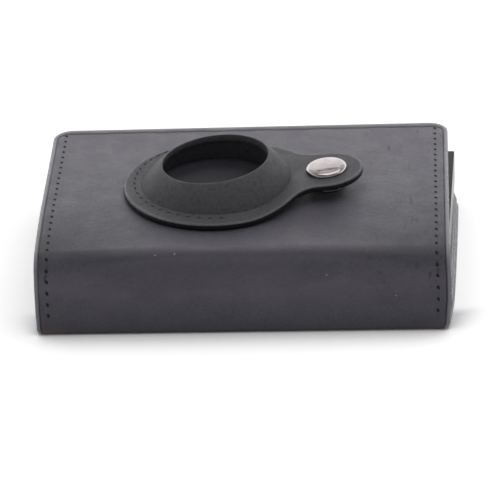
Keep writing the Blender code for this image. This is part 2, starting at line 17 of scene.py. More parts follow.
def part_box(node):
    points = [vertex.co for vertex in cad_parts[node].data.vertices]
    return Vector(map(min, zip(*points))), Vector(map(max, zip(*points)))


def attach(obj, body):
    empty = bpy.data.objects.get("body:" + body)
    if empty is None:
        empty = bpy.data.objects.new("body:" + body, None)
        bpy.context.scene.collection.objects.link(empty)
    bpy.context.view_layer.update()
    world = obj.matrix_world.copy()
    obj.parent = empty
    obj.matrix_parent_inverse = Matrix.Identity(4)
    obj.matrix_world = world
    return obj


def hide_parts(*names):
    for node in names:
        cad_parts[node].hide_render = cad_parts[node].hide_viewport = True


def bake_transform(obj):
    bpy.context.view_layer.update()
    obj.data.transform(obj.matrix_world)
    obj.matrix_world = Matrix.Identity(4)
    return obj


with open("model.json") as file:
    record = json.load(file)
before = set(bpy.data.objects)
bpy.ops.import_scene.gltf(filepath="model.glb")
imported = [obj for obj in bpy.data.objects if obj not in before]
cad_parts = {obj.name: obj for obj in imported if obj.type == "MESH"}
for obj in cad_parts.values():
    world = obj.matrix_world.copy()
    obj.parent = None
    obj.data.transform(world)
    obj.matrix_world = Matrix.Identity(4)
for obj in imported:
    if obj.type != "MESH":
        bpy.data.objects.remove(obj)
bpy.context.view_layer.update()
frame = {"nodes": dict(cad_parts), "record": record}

# %% [markdown]
# ## Sizes come from the frame
# A dressed piece has to lie exactly where its solid lies, so the main sizes are measured on the solids.
# Drawing coordinates make the rest easy to read: x is centred on the cover, y starts at the spine's
# outer face, and z starts at the table.

# %% Main sizes
MM = 0.001
spine_low, spine_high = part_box("spine_leather")
cover_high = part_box("front_cover_leather")[1]
CENTRE = Vector(((spine_low.x + spine_high.x) / 2, spine_low.y, 0.0))
HALF_WIDTH = (spine_high.x - spine_low.x) / 2
COVER_LENGTH = cover_high.y - spine_low.y
COVER_TOP = cover_high.z
LEATHER = 1.4 * MM
joints = {joint["name"]: joint for joint in frame["record"]["behaviour"]["joints"]}
flap_axis = Vector(joints["pocket_flap"]["pos_m"])
print("cover:", round(HALF_WIDTH * 2, 4), "x", round(COVER_LENGTH, 4), "top at", round(COVER_TOP, 4))


def placed(x, y, z):
    """A point given in drawing coordinates, in the frame's own coordinates."""
    return Vector((x, y, z)) + CENTRE


# %% [markdown]
# ## The camera
# The photo is a catalogue picture: a long lens from the spine's side, a little to the right of the middle
# and about 28 degrees above the table. Angle, distance, roll and lens were solved together from the
# wallet's corners and the pocket's circles in the picture. A target in front of the lens is easier to
# read than a rotation, so the camera is aimed with a track quaternion and then rolled.

# %% Camera
CAMERA_AZIMUTH = math.radians(3.6)
CAMERA_ELEVATION = math.radians(27.9)
CAMERA_ROLL = math.radians(-2.675)
CAMERA_DISTANCE = 0.847
CAMERA_LENS_MM = 261.3
camera_target = placed(1.27 * MM, 0.0, 23.37 * MM)

camera = bpy.data.objects.new("camera", bpy.data.cameras.new("camera"))
bpy.context.collection.objects.link(camera)
camera.data.lens = CAMERA_LENS_MM
camera.data.sensor_width = 36.0
camera.data.clip_start = 0.01
towards = Vector((math.sin(CAMERA_AZIMUTH) * math.cos(CAMERA_ELEVATION),
                  -math.cos(CAMERA_AZIMUTH) * math.cos(CAMERA_ELEVATION),
                  math.sin(CAMERA_ELEVATION)))
aim = (-towards).to_track_quat("-Z", "Y").to_matrix().to_4x4()
camera.matrix_world = (Matrix.Translation(camera_target + towards * CAMERA_DISTANCE) @ aim
                       @ Matrix.Rotation(CAMERA_ROLL, 4, "Z"))
bpy.context.scene.camera = camera
bpy.context.scene.view_settings.view_transform = "Standard"
print("camera at", [round(value, 3) for value in camera.matrix_world.translation])

# %% [markdown]
# ## Writing materials as short recipes
# Every finish below is a Principled shader fed by a few texture nodes. Two small helpers keep the recipes
# short: one adds a node and fills its sockets, one mixes two colours. Patterns read Object coordinates,
# which are metres here because every finished piece has its object at the origin.


# %% Adding nodes, mixing and summing
def add_node(tree, kind, inputs=(), **settings):
    """Add a node, set its properties, and fill sockets with values or links."""
    node = tree.nodes.new(kind)
    for name, value in settings.items():
        setattr(node, name, value)
    for name, value in dict(inputs).items():
        if isinstance(value, bpy.types.NodeSocket):
            tree.links.new(value, node.inputs[name])
        else:
            node.inputs[name].default_value = value
    return node


def mixed(tree, factor, first, second):
    """A colour between two colours or colour sockets."""
    pair = [value if isinstance(value, bpy.types.NodeSocket) else (*value, 1.0) for value in (first, second)]
    return add_node(tree, "ShaderNodeMix", {0: factor, 6: pair[0], 7: pair[1]}, data_type="RGBA").outputs[2]


def ramped(tree, value, low, high, start=0.0, end=1.0):
    """A value rescaled from low..high to start..end, and held at the ends."""
    sockets = {0: value, 1: low, 2: high, 3: start, 4: end}
    return add_node(tree, "ShaderNodeMapRange", sockets, interpolation_type="SMOOTHSTEP").outputs[0]


def combined(tree, operation, first, second=0.0):
    """One sum on values or sockets, such as MULTIPLY, MAXIMUM or ABSOLUTE."""
    return add_node(tree, "ShaderNodeMath", {0: first, 1: second}, operation=operation).outputs[0]


def times(tree, first, *others):
    """The product of several values or sockets."""
    for other in others:
        first = combined(tree, "MULTIPLY", first, other)
    return first


def apart(tree, value, middle):
    """How far a value is from a middle one, on either side of it."""
    return combined(tree, "ABSOLUTE", combined(tree, "SUBTRACT", value, middle))


def split(tree, where):
    """The X, Y and Z of a position or direction."""
    return add_node(tree, "ShaderNodeSeparateXYZ", {0: where}).outputs


print("nodes as in Blender", bpy.app.version_string)


# %% Patterns, and what they are linked to
def start_material(name, roughness, metallic=0.0):
    """A new material with its tree, its Principled shader and the Object coordinates."""
    material = bpy.data.materials.new(name)
    material.use_nodes = True
    tree = material.node_tree
    shader = tree.nodes["Principled BSDF"]
    shader.inputs["Roughness"].default_value = roughness
    shader.inputs["Metallic"].default_value = metallic
    where = tree.nodes.new("ShaderNodeTexCoord").outputs["Object"]
    return material, tree, shader, where


def noise(tree, where, size, detail=3.0, roughness=0.5):
    """Noise whose features are about as large as size, in metres."""
    sockets = {"Vector": where, "Scale": 1.0 / size, "Detail": detail, "Roughness": roughness}
    return add_node(tree, "ShaderNodeTexNoise", sockets).outputs["Fac"]


def stretched(tree, where, factors):
    """Object coordinates scaled so that a pattern stretches along an axis."""
    return add_node(tree, "ShaderNodeMapping", {"Vector": where, "Scale": factors}).outputs["Vector"]


def cells(tree, where, size, feature="F1"):
    """A cell pattern with cells about as large as size."""
    sockets = {"Vector": where, "Scale": 1.0 / size}
    return add_node(tree, "ShaderNodeTexVoronoi", sockets, feature=feature)


def link_colour(tree, shader, colour):
    tree.links.new(colour, shader.inputs["Base Color"])


def link_roughness(tree, shader, roughness):
    tree.links.new(roughness, shader.inputs["Roughness"])


def link_bumps(tree, shader, layers):
    """Stack bump layers, each given as (height socket, depth in metres)."""
    normal = None
    for height, depth in layers:
        sockets = {"Height": height, "Distance": depth, "Strength": 1.0}
        if normal is not None:
            sockets["Normal"] = normal
        normal = add_node(tree, "ShaderNodeBump", sockets).outputs["Normal"]
    tree.links.new(normal, shader.inputs["Normal"])


print("scale of a pattern of 1 mm:", round(1.0 / MM))

# %% [markdown]
# ## The charcoal leather
# The outer leather is full-grain, dyed a warm black that looks charcoal under soft light. Close up it has
# a fine pebble of about a third of a millimetre, small dark pits between paler spots, slow mottling from
# the dye and a little dust. Cut edges are burnished smoother, and a painted highlight makes them paler,
# where the light catches them. The meshes carry an attribute, edge_distance, that says how far a point
# is from the cut edge, and the material uses it to paint that highlight on the rim, to darken the creased
# line beside it and to paint shade on the pocket's lowest edge.
#
# The wear, the painted sheen and the painted shade could be drawn into a texture, but a list of layers is
# easier to read and to change: each says where it shows and in what colour. Places are Object coordinates,
# so a layer stays put when the wallet turns. Painted sheen pales the leather in a patchy band along the
# spine, on the middle of the ridge and over the far half. Painted shade darkens the ridge's ends, the spine
# low down and the cover under the pocket's window. The leather is worn brown at the bottom corners and
# finely scratched on the right.

# %% Leather colours and sizes
CHARCOAL = (0.041, 0.039, 0.051)
CHARCOAL_PALE = (0.057, 0.054, 0.070)
# Painted highlight on burnished rims.
RIM_HIGHLIGHT_GREY = (0.225, 0.220, 0.235)
# Painted shade on the pocket's lowest edge.
EDGE_SHADE_BLACK = (0.010, 0.010, 0.011)
# Black of the creased line, the pits and the scratches, and of the painted shade.
CREASE_AND_SHADE_BLACK = (0.020, 0.019, 0.022)
# Grey of the pale spots between pits, and of the painted sheen.
PALE_SPOT_AND_SHEEN_GREY = (0.125, 0.118, 0.142)
WORN_BROWN = (0.130, 0.070, 0.055)
DUST_GREY = (0.42, 0.42, 0.43)
LEATHER_SHEEN = (0.97, 0.94, 1.0, 1.0)
BURNISHED_ROUGHNESS = 0.24
CREASE_INSET = 1.15 * MM
CREASE_WIDTH = 0.20 * MM
# Height and reach of the painted sheen band along the spine.
SHEEN_BAND_HEIGHT = 12.0 * MM
SHEEN_BAND_REACH = 7.5 * MM
print("creased line:", CREASE_INSET, "m from the edge,", CREASE_WIDTH, "m to each side")


# %% Wear on the outer leather
def wear_and_painted_light(tree, where, colour):
    """Lay the wear, painted shade and painted sheen over the leather.

    Each layer has the share of it that shows, and its colour.
    """
    axes = split(tree, where)
    side = combined(tree, "ABSOLUTE", axes["X"])

    def deep(low, high, start=1.0, end=0.0):
        """A ramp over the millimetres from the spine, along the cover."""
        return ramped(tree, axes["Y"], CENTRE.y + low * MM, CENTRE.y + high * MM, start, end)

    def up(low, high, start=0.0, end=1.0):
        """A ramp over the millimetres from the table."""
        return ramped(tree, axes["Z"], low * MM, high * MM, start, end)

    def out(low, high, start=0.0, end=1.0):
        """A ramp over the millimetres from the middle towards both ends."""
        return ramped(tree, side, low * MM, high * MM, start, end)

    on_spine = deep(0.5, 3.0)
    # A patchy band of painted sheen along the spine at mid-height.
    band = ramped(tree, apart(tree, axes["Z"], SHEEN_BAND_HEIGHT), 0.0, SHEEN_BAND_REACH, 0.40, 0.0)
    patches = noise(tree, stretched(tree, where, (0.4, 1.0, 1.0)), 6 * MM)
    patches = ramped(tree, patches, 0.35, 0.65, 0.6, 1.4)
    from_window = add_node(tree, "ShaderNodeVectorMath", {0: where, 1: (flap_axis.x, flap_axis.y, COVER_TOP)},
                           operation="DISTANCE").outputs["Value"]
    lines = noise(tree, stretched(tree, where, (1.0, 0.22, 1.0)), 1.6 * MM, 2.0)
    on_right = ramped(tree, axes["X"], 22 * MM, 38 * MM, 0.0, 0.7)
    # Painted sheen: spine, far half and ridge's middle. Painted shade: low on the spine, ridge's ends and
    # under the window. Wear: bottom corners and scratches.
    layers = {
        "spine": (times(tree, band, patches, on_spine), PALE_SPOT_AND_SHEEN_GREY),
        "far half": (deep(8, 66, 0.0, 0.54), PALE_SPOT_AND_SHEEN_GREY),
        "low on the spine": (times(tree, up(0, 6, 0.45, 0.0), on_spine), CREASE_AND_SHADE_BLACK),
        "ridge's ends": (times(tree, deep(0, 18, 0.9), out(12, 42, 0.1), up(18, 20.5)), CREASE_AND_SHADE_BLACK),
        "ridge's middle": (times(tree, up(16.5, 20.5), deep(2, 9), out(20, 42, 0.38, 0.0)), PALE_SPOT_AND_SHEEN_GREY),
        "under the window": (ramped(tree, from_window, 12 * MM, 15 * MM, 0.75, 0.0), CREASE_AND_SHADE_BLACK),
        "bottom corners": (times(tree, up(0.3, 2.4, 0.7, 0.0), out(38, 49)), WORN_BROWN),
        "scratches": (times(tree, ramped(tree, lines, 0.655, 0.68), on_right), CREASE_AND_SHADE_BLACK),
    }
    for share, layer in layers.values():
        colour = mixed(tree, share, colour, layer)
    return colour


def pressed_line(tree, where, edge):
    """The share of the line creased beside the edge, which is worn off at the left but not far back."""
    line = ramped(tree, apart(tree, edge, CREASE_INSET), CREASE_WIDTH * 0.4, CREASE_WIDTH, 0.95, 0.0)
    axes = split(tree, where)
    worn = ramped(tree, axes["X"], -46 * MM, -40 * MM, 0.15, 1.0)
    far_back = ramped(tree, axes["Y"], CENTRE.y + 61 * MM, CENTRE.y + 63 * MM)
    return times(tree, line, combined(tree, "MAXIMUM", worn, far_back))


# %% Leather
def leather_material(name, dark, pale, grain=0.34 * MM, roughness=0.45, dusty=True, creased=True,
                     rim_highlight_share=0.15):
    """Leather from the dye outwards: mottling, pits, wear and painted light, crease, painted rim highlight,
    painted edge shade, dust, polish and grain.
    """
    material, tree, shader, where = start_material(name, roughness)
    mottling = ramped(tree, noise(tree, where, 14 * MM, 6.0, 0.65), 0.36, 0.66, 0.0, 0.8)
    speckle = ramped(tree, noise(tree, where, 0.55 * MM, 2.0), 0.30, 0.72, 0.0, 0.6)
    colour = mixed(tree, speckle, mixed(tree, mottling, dark, pale), pale)
    pits = noise(tree, where, 0.75 * MM, 3.0, 0.6)
    colour = mixed(tree, ramped(tree, pits, 0.50, 0.30, 0.0, 0.45), colour, CREASE_AND_SHADE_BLACK)
    colour = mixed(tree, ramped(tree, pits, 0.50, 0.70, 0.0, 0.16), colour, PALE_SPOT_AND_SHEEN_GREY)
    edge = add_node(tree, "ShaderNodeAttribute", attribute_name="edge_distance").outputs["Fac"]
    if creased:
        colour = wear_and_painted_light(tree, where, colour)
        colour = mixed(tree, pressed_line(tree, where, edge), colour, CREASE_AND_SHADE_BLACK)
        rim_highlight_share = 0.9
    # Painted highlight on the rim, paler where the light catches the burnished edge.
    colour = mixed(tree, ramped(tree, edge, 0.55 * MM, 1.15 * MM, rim_highlight_share, 0.0), colour, RIM_HIGHLIGHT_GREY)
    # Painted shade on the pocket's lowest edge, where edge_distance is below zero.
    colour = mixed(tree, ramped(tree, edge, -0.5 * MM, -0.1 * MM, 1.0, 0.0), colour, EDGE_SHADE_BLACK)
    if dusty:
        speck = cells(tree, where, 6.5 * MM)
        near = ramped(tree, speck.outputs["Distance"], 0.018, 0.040, 0.9, 0.0)
        chosen = add_node(tree, "ShaderNodeSeparateColor", {0: speck.outputs["Color"]}).outputs[0]
        dust = times(tree, near, combined(tree, "GREATER_THAN", chosen, 0.35))
        colour = mixed(tree, dust, colour, DUST_GREY)
    link_colour(tree, shader, colour)
    worn = ramped(tree, noise(tree, where, 5 * MM, 4.0), 0.25, 0.75, roughness - 0.05, roughness + 0.07)
    polish = ramped(tree, edge, 0.3 * MM, 0.9 * MM, BURNISHED_ROUGHNESS - roughness, 0.0)
    link_roughness(tree, shader, combined(tree, "ADD", worn, polish))
    pebble = cells(tree, where, grain, "DISTANCE_TO_EDGE").outputs["Distance"]
    link_bumps(tree, shader, [(noise(tree, where, 9 * MM), 0.20 * MM),
                              (noise(tree, where, 1.1 * MM, 4.0), 0.075 * MM),
                              (ramped(tree, pebble, 0.0, 0.25), 0.032 * MM)])
    shader.inputs["Specular Tint"].default_value = LEATHER_SHEEN
    return material


outer_leather = leather_material("charcoal_leather", CHARCOAL, CHARCOAL_PALE)
pocket_leather = leather_material("moulded_charcoal_leather", (0.063, 0.062, 0.068), (0.074, 0.072, 0.078),
                                  grain=0.30 * MM, roughness=0.50, creased=False)
pocket_leather.node_tree.nodes["Principled BSDF"].inputs["Specular IOR Level"].default_value = 0.18
lining_leather = leather_material("black_lining_leather", (0.034, 0.032, 0.036), (0.050, 0.048, 0.053),
                                  grain=0.42 * MM, roughness=0.60, dusty=False, creased=False, rim_highlight_share=0.9)
print("leathers:", outer_leather.name, pocket_leather.name, lining_leather.name)

# %% [markdown]
# ## Laying leather out flat, then folding it
# The real cover is one skin, cut flat and folded twice. It is modelled the same way: first as a flat sheet
# with rings that follow its edge, which carry the burnished rim and the creased line, and then wrapped
# round the fold. The rings end where the corner's radius is used up, and a plain grid fills the rest.
# Along the far edge the line lies further in and wavers a little, because it was pressed by hand.
# The wallet opens at two creases, and a mesh can bend between two bodies only, so the skin is made as two
# sheets that meet low on the spine, where their points coincide.

# %% The edge of a leather sheet, in rings
CREASE_DEPTH = 0.15 * MM
FAR_CREASE = 2.4 * MM
FAR_CREASE_SPREAD = 3.2
FAR_WAVE = 0.16 * MM
FAR_WAVE_INSET = 0.8 * MM
FAR_RIPPLES = (620.0, 233.0)  # radians a metre
RIM_SHOULDER = 0.75 * MM
RIM_DROP = 0.20
RIM_STEPS = 5
CORNER_STEPS = 10


def rim_profile(thickness):
    """The cut edge from the underside to the face as (side inset, far inset, height), 0 height on the face.

    The lower corner is hardly rounded, the side is flat, and the upper corner is rubbed to a soft shoulder.
    """
    low = 0.15 * thickness
    points = [(low, -thickness), (low * 0.3, low * 0.3 - thickness), (0.0, low - thickness)]
    shoulder = min(RIM_SHOULDER, thickness * 0.5)
    for step in range(RIM_STEPS + 1):
        angle = math.pi / 2 * step / RIM_STEPS
        points.append((shoulder * (1 - math.cos(angle)), RIM_DROP * thickness * (math.sin(angle) - 1)))
    return [(inset, inset, height) for inset, height in points]


def face_profile(last, far_crease=CREASE_INSET):
    """The rings on the face from the creased line inwards, which runs further in along the far edge."""
    points = [(-CREASE_WIDTH, 0.02 * MM), (0.0, -CREASE_DEPTH), (CREASE_WIDTH, 0.0)]
    rings = [(CREASE_INSET + aside, far_crease + aside * FAR_CREASE_SPREAD, height)
             for aside, height in points]
    return rings + [(last * 0.6, last * 0.66, 0.0), (last, last, 0.0)]


def spaced(start, end, step):
    """Evenly spaced numbers from start to end, about a step apart."""
    count = max(1, round(abs(end - start) / step))
    return [start + (end - start) * number / count for number in range(count + 1)]


def edge_line(inset, far_inset, half_width, far, radius, rows, columns):
    """One U-shaped line round a sheet, up the left side, across the far end and down the right side."""
    left = [(-half_width + inset, row) for row in rows]
    turn = [math.pi - math.pi / 2 * step / CORNER_STEPS for step in range(1, CORNER_STEPS)]
    bend = [(-half_width + radius + (radius - inset) * math.cos(angle),
             far - radius + (radius - far_inset) * math.sin(angle)) for angle in turn]
    wave = FAR_WAVE * min(1.0, (far_inset - inset) / FAR_WAVE_INSET)
    fast, slow = FAR_RIPPLES
    across = [(x, far - far_inset + wave * math.sin(x * fast) * math.sin(x * slow + 0.7)) for x in columns]
    mirrored = [(-x, p) for x, p in reversed(left + bend)]
    return left + bend + across + mirrored


print("rings on a face:", len(face_profile(5.5 * MM)))

# %% A folded sheet of leather
WELD = 1e-6


def folded_sheet(name, half_width, near, far, radius, thickness, fold_rows, wrap, face, step=2.0 * MM):
    """A closed leather sheet from a cut at near to rounded corners at far, wrapped round its fold.

    wrap turns (x, p, height) on the flat sheet into a point of the frame, and fold_rows are the extra
    rows that the fold needs.
    """
    fold = (fold_rows[0], fold_rows[-1]) if fold_rows else (near, near)
    flat = [row for row in spaced(near, far - radius, step) if not fold[0] < row < fold[1]]
    rows = sorted(set(flat + fold_rows))
    columns = spaced(-half_width + radius, half_width - radius, step)
    form = bmesh.new()
    distance = form.verts.layers.float.new("edge_distance")

    def add_point(x, p, height, inset):
        vert = form.verts.new(wrap(x, p, height))
        vert[distance] = inset
        return vert

    def join_rings(first, second):
        for here in range(len(first) - 1):
            form.faces.new((first[here], first[here + 1], second[here + 1], second[here]))

    lines = []
    for inset, far_inset, height in [(radius, radius, -thickness)] + rim_profile(thickness) + face:
        line = edge_line(inset, far_inset, half_width, far, radius, rows, columns)
        lines.append([add_point(x, p, height, inset) for x, p in line])
    for first, second in zip(lines, lines[1:]):
        join_rings(first, second)
    for height in (0.0, -thickness):
        grid = [[add_point(x, p, height, radius) for x in columns] for p in rows]
        for first, second in zip(grid, grid[1:]):
            join_rings(first, second)
    bmesh.ops.remove_doubles(form, verts=form.verts, dist=WELD)
    bmesh.ops.holes_fill(form, edges=[edge for edge in form.edges if edge.is_boundary], sides=0)
    return finished(name, form)


def finished(name, form, sharp_angle=38.0):
    """Turn a bmesh into an object with outward faces and smooth shading."""
    bmesh.ops.recalc_face_normals(form, faces=form.faces)
    mesh = bpy.data.meshes.new(name)
    form.to_mesh(mesh)
    form.free()
    piece = bpy.data.objects.new(name, mesh)
    bpy.context.collection.objects.link(piece)
    mesh.shade_smooth()
    mesh.set_sharp_from_angle(angle=math.radians(sharp_angle))
    print(name, "faces:", len(mesh.polygons))
    return piece


def dress(piece, finish, slot_name, *nodes):
    """Give a piece its finish and hide the nodes that it stands for. slot_name is not used."""
    piece.data.materials.clear()
    piece.data.materials.append(finish)
    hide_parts(*nodes)


# %% [markdown]
# ## The two creases
# At the top ridge the fold is tight in the middle of the wallet, where the layers inside push it out,
# and soft towards both ends, where nothing fills it: there the skin sags and the fold is rounder.
# The spine is a little hollow under the ridge and bellies out below. Its ends bow, the left one leans out
# and the right one in, and the bottom corners are pinched, as leather is where it is folded hard.
# All of that goes into one wrapping function per sheet, so that thread can follow the same surface.

# %% Fold sizes
RIDGE_RADIUS = 2.6 * MM
RIDGE_END_RADIUS = 4.2 * MM
RIDGE_SAG = 0.30 * MM
RIDGE_END_SAG = 2.4 * MM
RIDGE_END_START = 0.30
SAG_REACH = 26.0 * MM
SPINE_SAG_BASE = 9.0 * MM
SPINE_WAVE = 0.40 * MM
SPINE_BELLY = 1.20 * MM
BELLY_TILT = 0.15
BELLY_TOP = 0.8
SWELL_REACH = 2.5 * MM
BOTTOM_RADIUS = 1.1 * MM
FRONT_CORNER = 4.8 * MM
BACK_CORNER = 5.5 * MM
SPINE_CUT = 4.6 * MM
END_BOW = 0.25 * MM
BOW_REACH = 14.0 * MM
LEFT_LEAN = -0.35 * MM
RIGHT_LEAN = 0.60 * MM
LEAN_REACH = 8.5 * MM
LEFT_TRIM = 0.25 * MM
LEFT_PINCH = 0.7 * MM
RIGHT_PINCH = 1.2 * MM
PINCH_REACH = 1.8 * MM
END_STEEPNESS = 12
FAR_SKEW = 0.4 * MM
FAR_LIFT = 0.2 * MM
FAR_LIFT_START = 0.75
BACK_FAN = 2.6 * MM
BACK_FAN_CURVE = 0.6
BACK_SLANT = math.tan(math.radians(2.2))
print("ridge sag in the middle and at the ends:", RIDGE_SAG, RIDGE_SAG + RIDGE_END_SAG)


# %% Bending, sagging and swelling
def eased(value):
    """A smooth step from 0 to 1."""
    value = min(1.0, max(0.0, value))
    return value * value * (3.0 - 2.0 * value)


def folded(p, height, radius):
    """Bend a flat strip round a corner. p runs from minus (down the spine) to plus (along the cover).

    The result is (along, aside): the distances from the spine's face and from the cover's face.
    """
    angle = math.pi / 4 * (1.0 + max(-1.0, min(1.0, p / radius)))
    normal = (-math.cos(angle), -math.sin(angle))
    if p > radius:
        along, aside = p, 0.0
    elif p < -radius:
        along, aside = 0.0, -p
    else:
        along, aside = radius * (1 - math.cos(angle)), radius * (1 - math.sin(angle))
    return along + normal[0] * height, aside + normal[1] * height


def near_end(x):
    """0 in the middle of the spine, rising to 1 at its ends."""
    return eased((abs(x) / HALF_WIDTH - RIDGE_END_START) / (1.0 - RIDGE_END_START))


def ridge_radius(x):
    return RIDGE_RADIUS + (RIDGE_END_RADIUS - RIDGE_RADIUS) * near_end(x)


def ridge_sag(x, y, z):
    """How far the skin sinks near the ridge, where no layer holds it up."""
    depth = RIDGE_SAG + RIDGE_END_SAG * near_end(x)
    slope = max(0.0, 1.0 - max(0.0, y) / SAG_REACH) ** 2
    return depth * slope * eased((z - SPINE_SAG_BASE) / (COVER_TOP - SPINE_SAG_BASE))


def spine_swell(x, y, z):
    """The spine's shallow hollow under the ridge, and its belly that hangs out towards the bottom right."""
    share = min(1.0, max(0.0, z / COVER_TOP))
    wave = SPINE_WAVE * math.sin(math.pi * share) * math.cos(math.tau * (share - 0.3))
    belly = SPINE_BELLY * (1.0 + BELLY_TILT * x / HALF_WIDTH) * (1.0 - eased(share / BELLY_TOP))
    return (wave + belly) * (1.0 - eased(y / SWELL_REACH))


print("ridge radius in the middle and at the ends:", ridge_radius(0.0), ridge_radius(HALF_WIDTH))


# %% Wrapping a sheet round its fold
def fanned(x, y):
    """Where the back's leather lies: it stands out to the right and is square with the case."""
    share = max(0.0, y) / COVER_LENGTH
    return x + BACK_FAN * share ** BACK_FAN_CURVE, y + (HALF_WIDTH - x) * BACK_SLANT * share


def askew(x, along):
    """How far the front cover's far edge runs off square."""
    return FAR_SKEW * (x / HALF_WIDTH) * (along / COVER_LENGTH)


def spread(x, z, y):
    """Where a point lies sideways once the ends bow, lean and are pinched. It fades along the cover."""
    bow = END_BOW * math.sin(math.pi * min(1.0, max(0.0, z / COVER_TOP))) * (1.0 - eased(y / BOW_REACH))
    reach = z + y * 0.7
    lean, corner, trim = (LEFT_LEAN, LEFT_PINCH, LEFT_TRIM) if x < 0.0 else (RIGHT_LEAN, RIGHT_PINCH, 0.0)
    pinch = (corner * (1.0 - eased(reach / PINCH_REACH)) + lean * max(0.0, 1.0 - reach / LEAN_REACH)
             + trim * (1.0 - y / COVER_LENGTH))
    return x * (1.0 + (bow - pinch * abs(x / HALF_WIDTH) ** END_STEEPNESS) / HALF_WIDTH)


def front_wrap(x, p, height):
    """The sheet over the ridge: p is minus down the spine and plus along the front cover."""
    along, aside = folded(p, height, ridge_radius(x))
    z = COVER_TOP - aside
    far = (along / COVER_LENGTH - FAR_LIFT_START) / (1.0 - FAR_LIFT_START)
    lift = FAR_LIFT * eased(far) - ridge_sag(x, along, z)
    return placed(spread(x, z, along), along - spine_swell(x, along, z) + askew(x, along), z + lift)


def back_wrap(x, p, height):
    """The sheet under the spine: p is minus up the spine and plus along the back cover."""
    along, aside = folded(p, height, BOTTOM_RADIUS)
    wide, deep = fanned(spread(x, aside, along), along)
    return placed(wide, deep - spine_swell(x, along, aside), aside)


print("the front sheet turns over at", [round(value, 4) for value in front_wrap(0.0, 0.0, 0.0)])

# %% [markdown]
# ## The cover leather, front and back
# Both sheets are wrapped round their creases in the closed pose, with extra rows across each crease. The
# ridge has them over a longer way than the foot of the spine.

# %% Cover sheets
RIDGE_ROWS = spaced(-7 * MM, 7 * MM, 0.5 * MM)
FOOT_ROWS = spaced(-3 * MM, 3 * MM, 0.25 * MM)

front_skin = folded_sheet("outer_skin_front", HALF_WIDTH, SPINE_CUT - COVER_TOP, COVER_LENGTH, FRONT_CORNER,
                          LEATHER, RIDGE_ROWS, front_wrap, face_profile(FRONT_CORNER, FAR_CREASE))
back_skin = folded_sheet("outer_skin_back", HALF_WIDTH, -SPINE_CUT, COVER_LENGTH, BACK_CORNER, LEATHER,
                         FOOT_ROWS, back_wrap, face_profile(BACK_CORNER))
dress(front_skin, outer_leather, "outer_leather", "front_cover_leather", "spine_leather")
dress(back_skin, outer_leather, "outer_leather", "back_cover_leather")
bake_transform(front_skin)
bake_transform(back_skin)

# %% [markdown]
# ## The moulded tracker pocket
# The pocket is one piece of leather, pressed wet over a former: a flat flange, a round dome with a window,
# and a tongue that runs out to the snap. The left half of its flange is sewn to the cover and the right
# half lifts. It is modelled from rings: lines at a set distance inside the outline near the edge, then
# circles up the dome, over the rim and back underneath. Offsetting the outline needs no solver, because
# it is made of arcs whose centres stay put while their radii change.

# %% Pocket sizes
snap_low, snap_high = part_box("snap_cap")
free_low, free_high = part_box("pocket_free_half")
POCKET_BASE = COVER_TOP + 0.06 * MM
STRAP_REACH = (snap_low.x + snap_high.x) / 2 - flap_axis.x
STRAP_END_RADIUS = free_high.x - flap_axis.x - STRAP_REACH
FLANGE_RADIUS = (free_high.y - free_low.y) / 2
STRAP_FILLET = 8.0 * MM
NECK_INSET = 4.0 * MM
FOOT_NEAR = 17.3 * MM
FOOT_SIDE = 18.5 * MM
CREST_RADIUS = 13.45 * MM
WALL_SWELL = 0.42
FLANGE = 1.5 * MM
RIM_HEIGHT = flap_axis.z - COVER_TOP - 0.7 * MM
POCKET_LEATHER = 1.5 * MM
HOLLOW_TOP = 14.6 * MM
HOLLOW_FOOT = 16.0 * MM
HOLLOW_STEP = 0.3 * MM
RISE_START = -8.3 * MM
LIFT_START = 8.0 * MM
LIFT_LENGTH = 16.0 * MM
STRAP_SLOPE = math.tan(math.radians(4.8))
FLANGE_STEPS = 110
TIP_STEPS = 14
FILLET_STEPS = 10
print("strap reach:", round(STRAP_REACH, 5), "end radius:", round(STRAP_END_RADIUS, 5))


def rise(x, share=0.0):
    """Climb towards the snap: the rim, share 1, leans all the way, and the flange only lifts near it."""
    return (x - RISE_START) * STRAP_SLOPE * (share + (1.0 - share) * eased((x - LIFT_START) / LIFT_LENGTH))


def arc(centre, radius, start, end, steps):
    """Points on an arc, from one angle to another."""
    angles = [start + (end - start) * step / steps for step in range(steps + 1)]
    return [(centre[0] + radius * math.cos(a), centre[1] + radius * math.sin(a)) for a in angles]


def pocket_outline(inset):
    """The pocket's outline, set in by a distance, from the strap's tip all the way round."""
    reach = FLANGE_RADIUS + STRAP_FILLET
    span = STRAP_END_RADIUS + STRAP_FILLET
    bend = math.acos((reach ** 2 + STRAP_REACH ** 2 - span ** 2) / (2 * reach * STRAP_REACH))
    centre = (reach * math.cos(bend), reach * math.sin(bend))
    lean = math.atan2(centre[1], centre[0] - STRAP_REACH)
    tip = arc((STRAP_REACH, 0.0), STRAP_END_RADIUS - inset, 0.0, lean, TIP_STEPS)
    fillet = arc(centre, STRAP_FILLET + inset, lean - math.pi, bend - math.pi, FILLET_STEPS)
    upper = tip + fillet[1:]
    flange = arc((0.0, 0.0), FLANGE_RADIUS - inset, bend, math.tau - bend, FLANGE_STEPS)
    lower = [(x, -y) for x, y in reversed(upper)]
    return upper + flange[1:-1] + lower[:-1]


# %% Pocket rings
NECK_STEPS = 6
WALL_STEPS = 14
foot_angles = [math.atan2(y, x) for x, y in pocket_outline(NECK_INSET)]


def foot_radius(angle):
    """The dome's foot, which spreads a little further along the spine's direction."""
    return FOOT_NEAR + (FOOT_SIDE - FOOT_NEAR) * math.cos(angle) ** 2


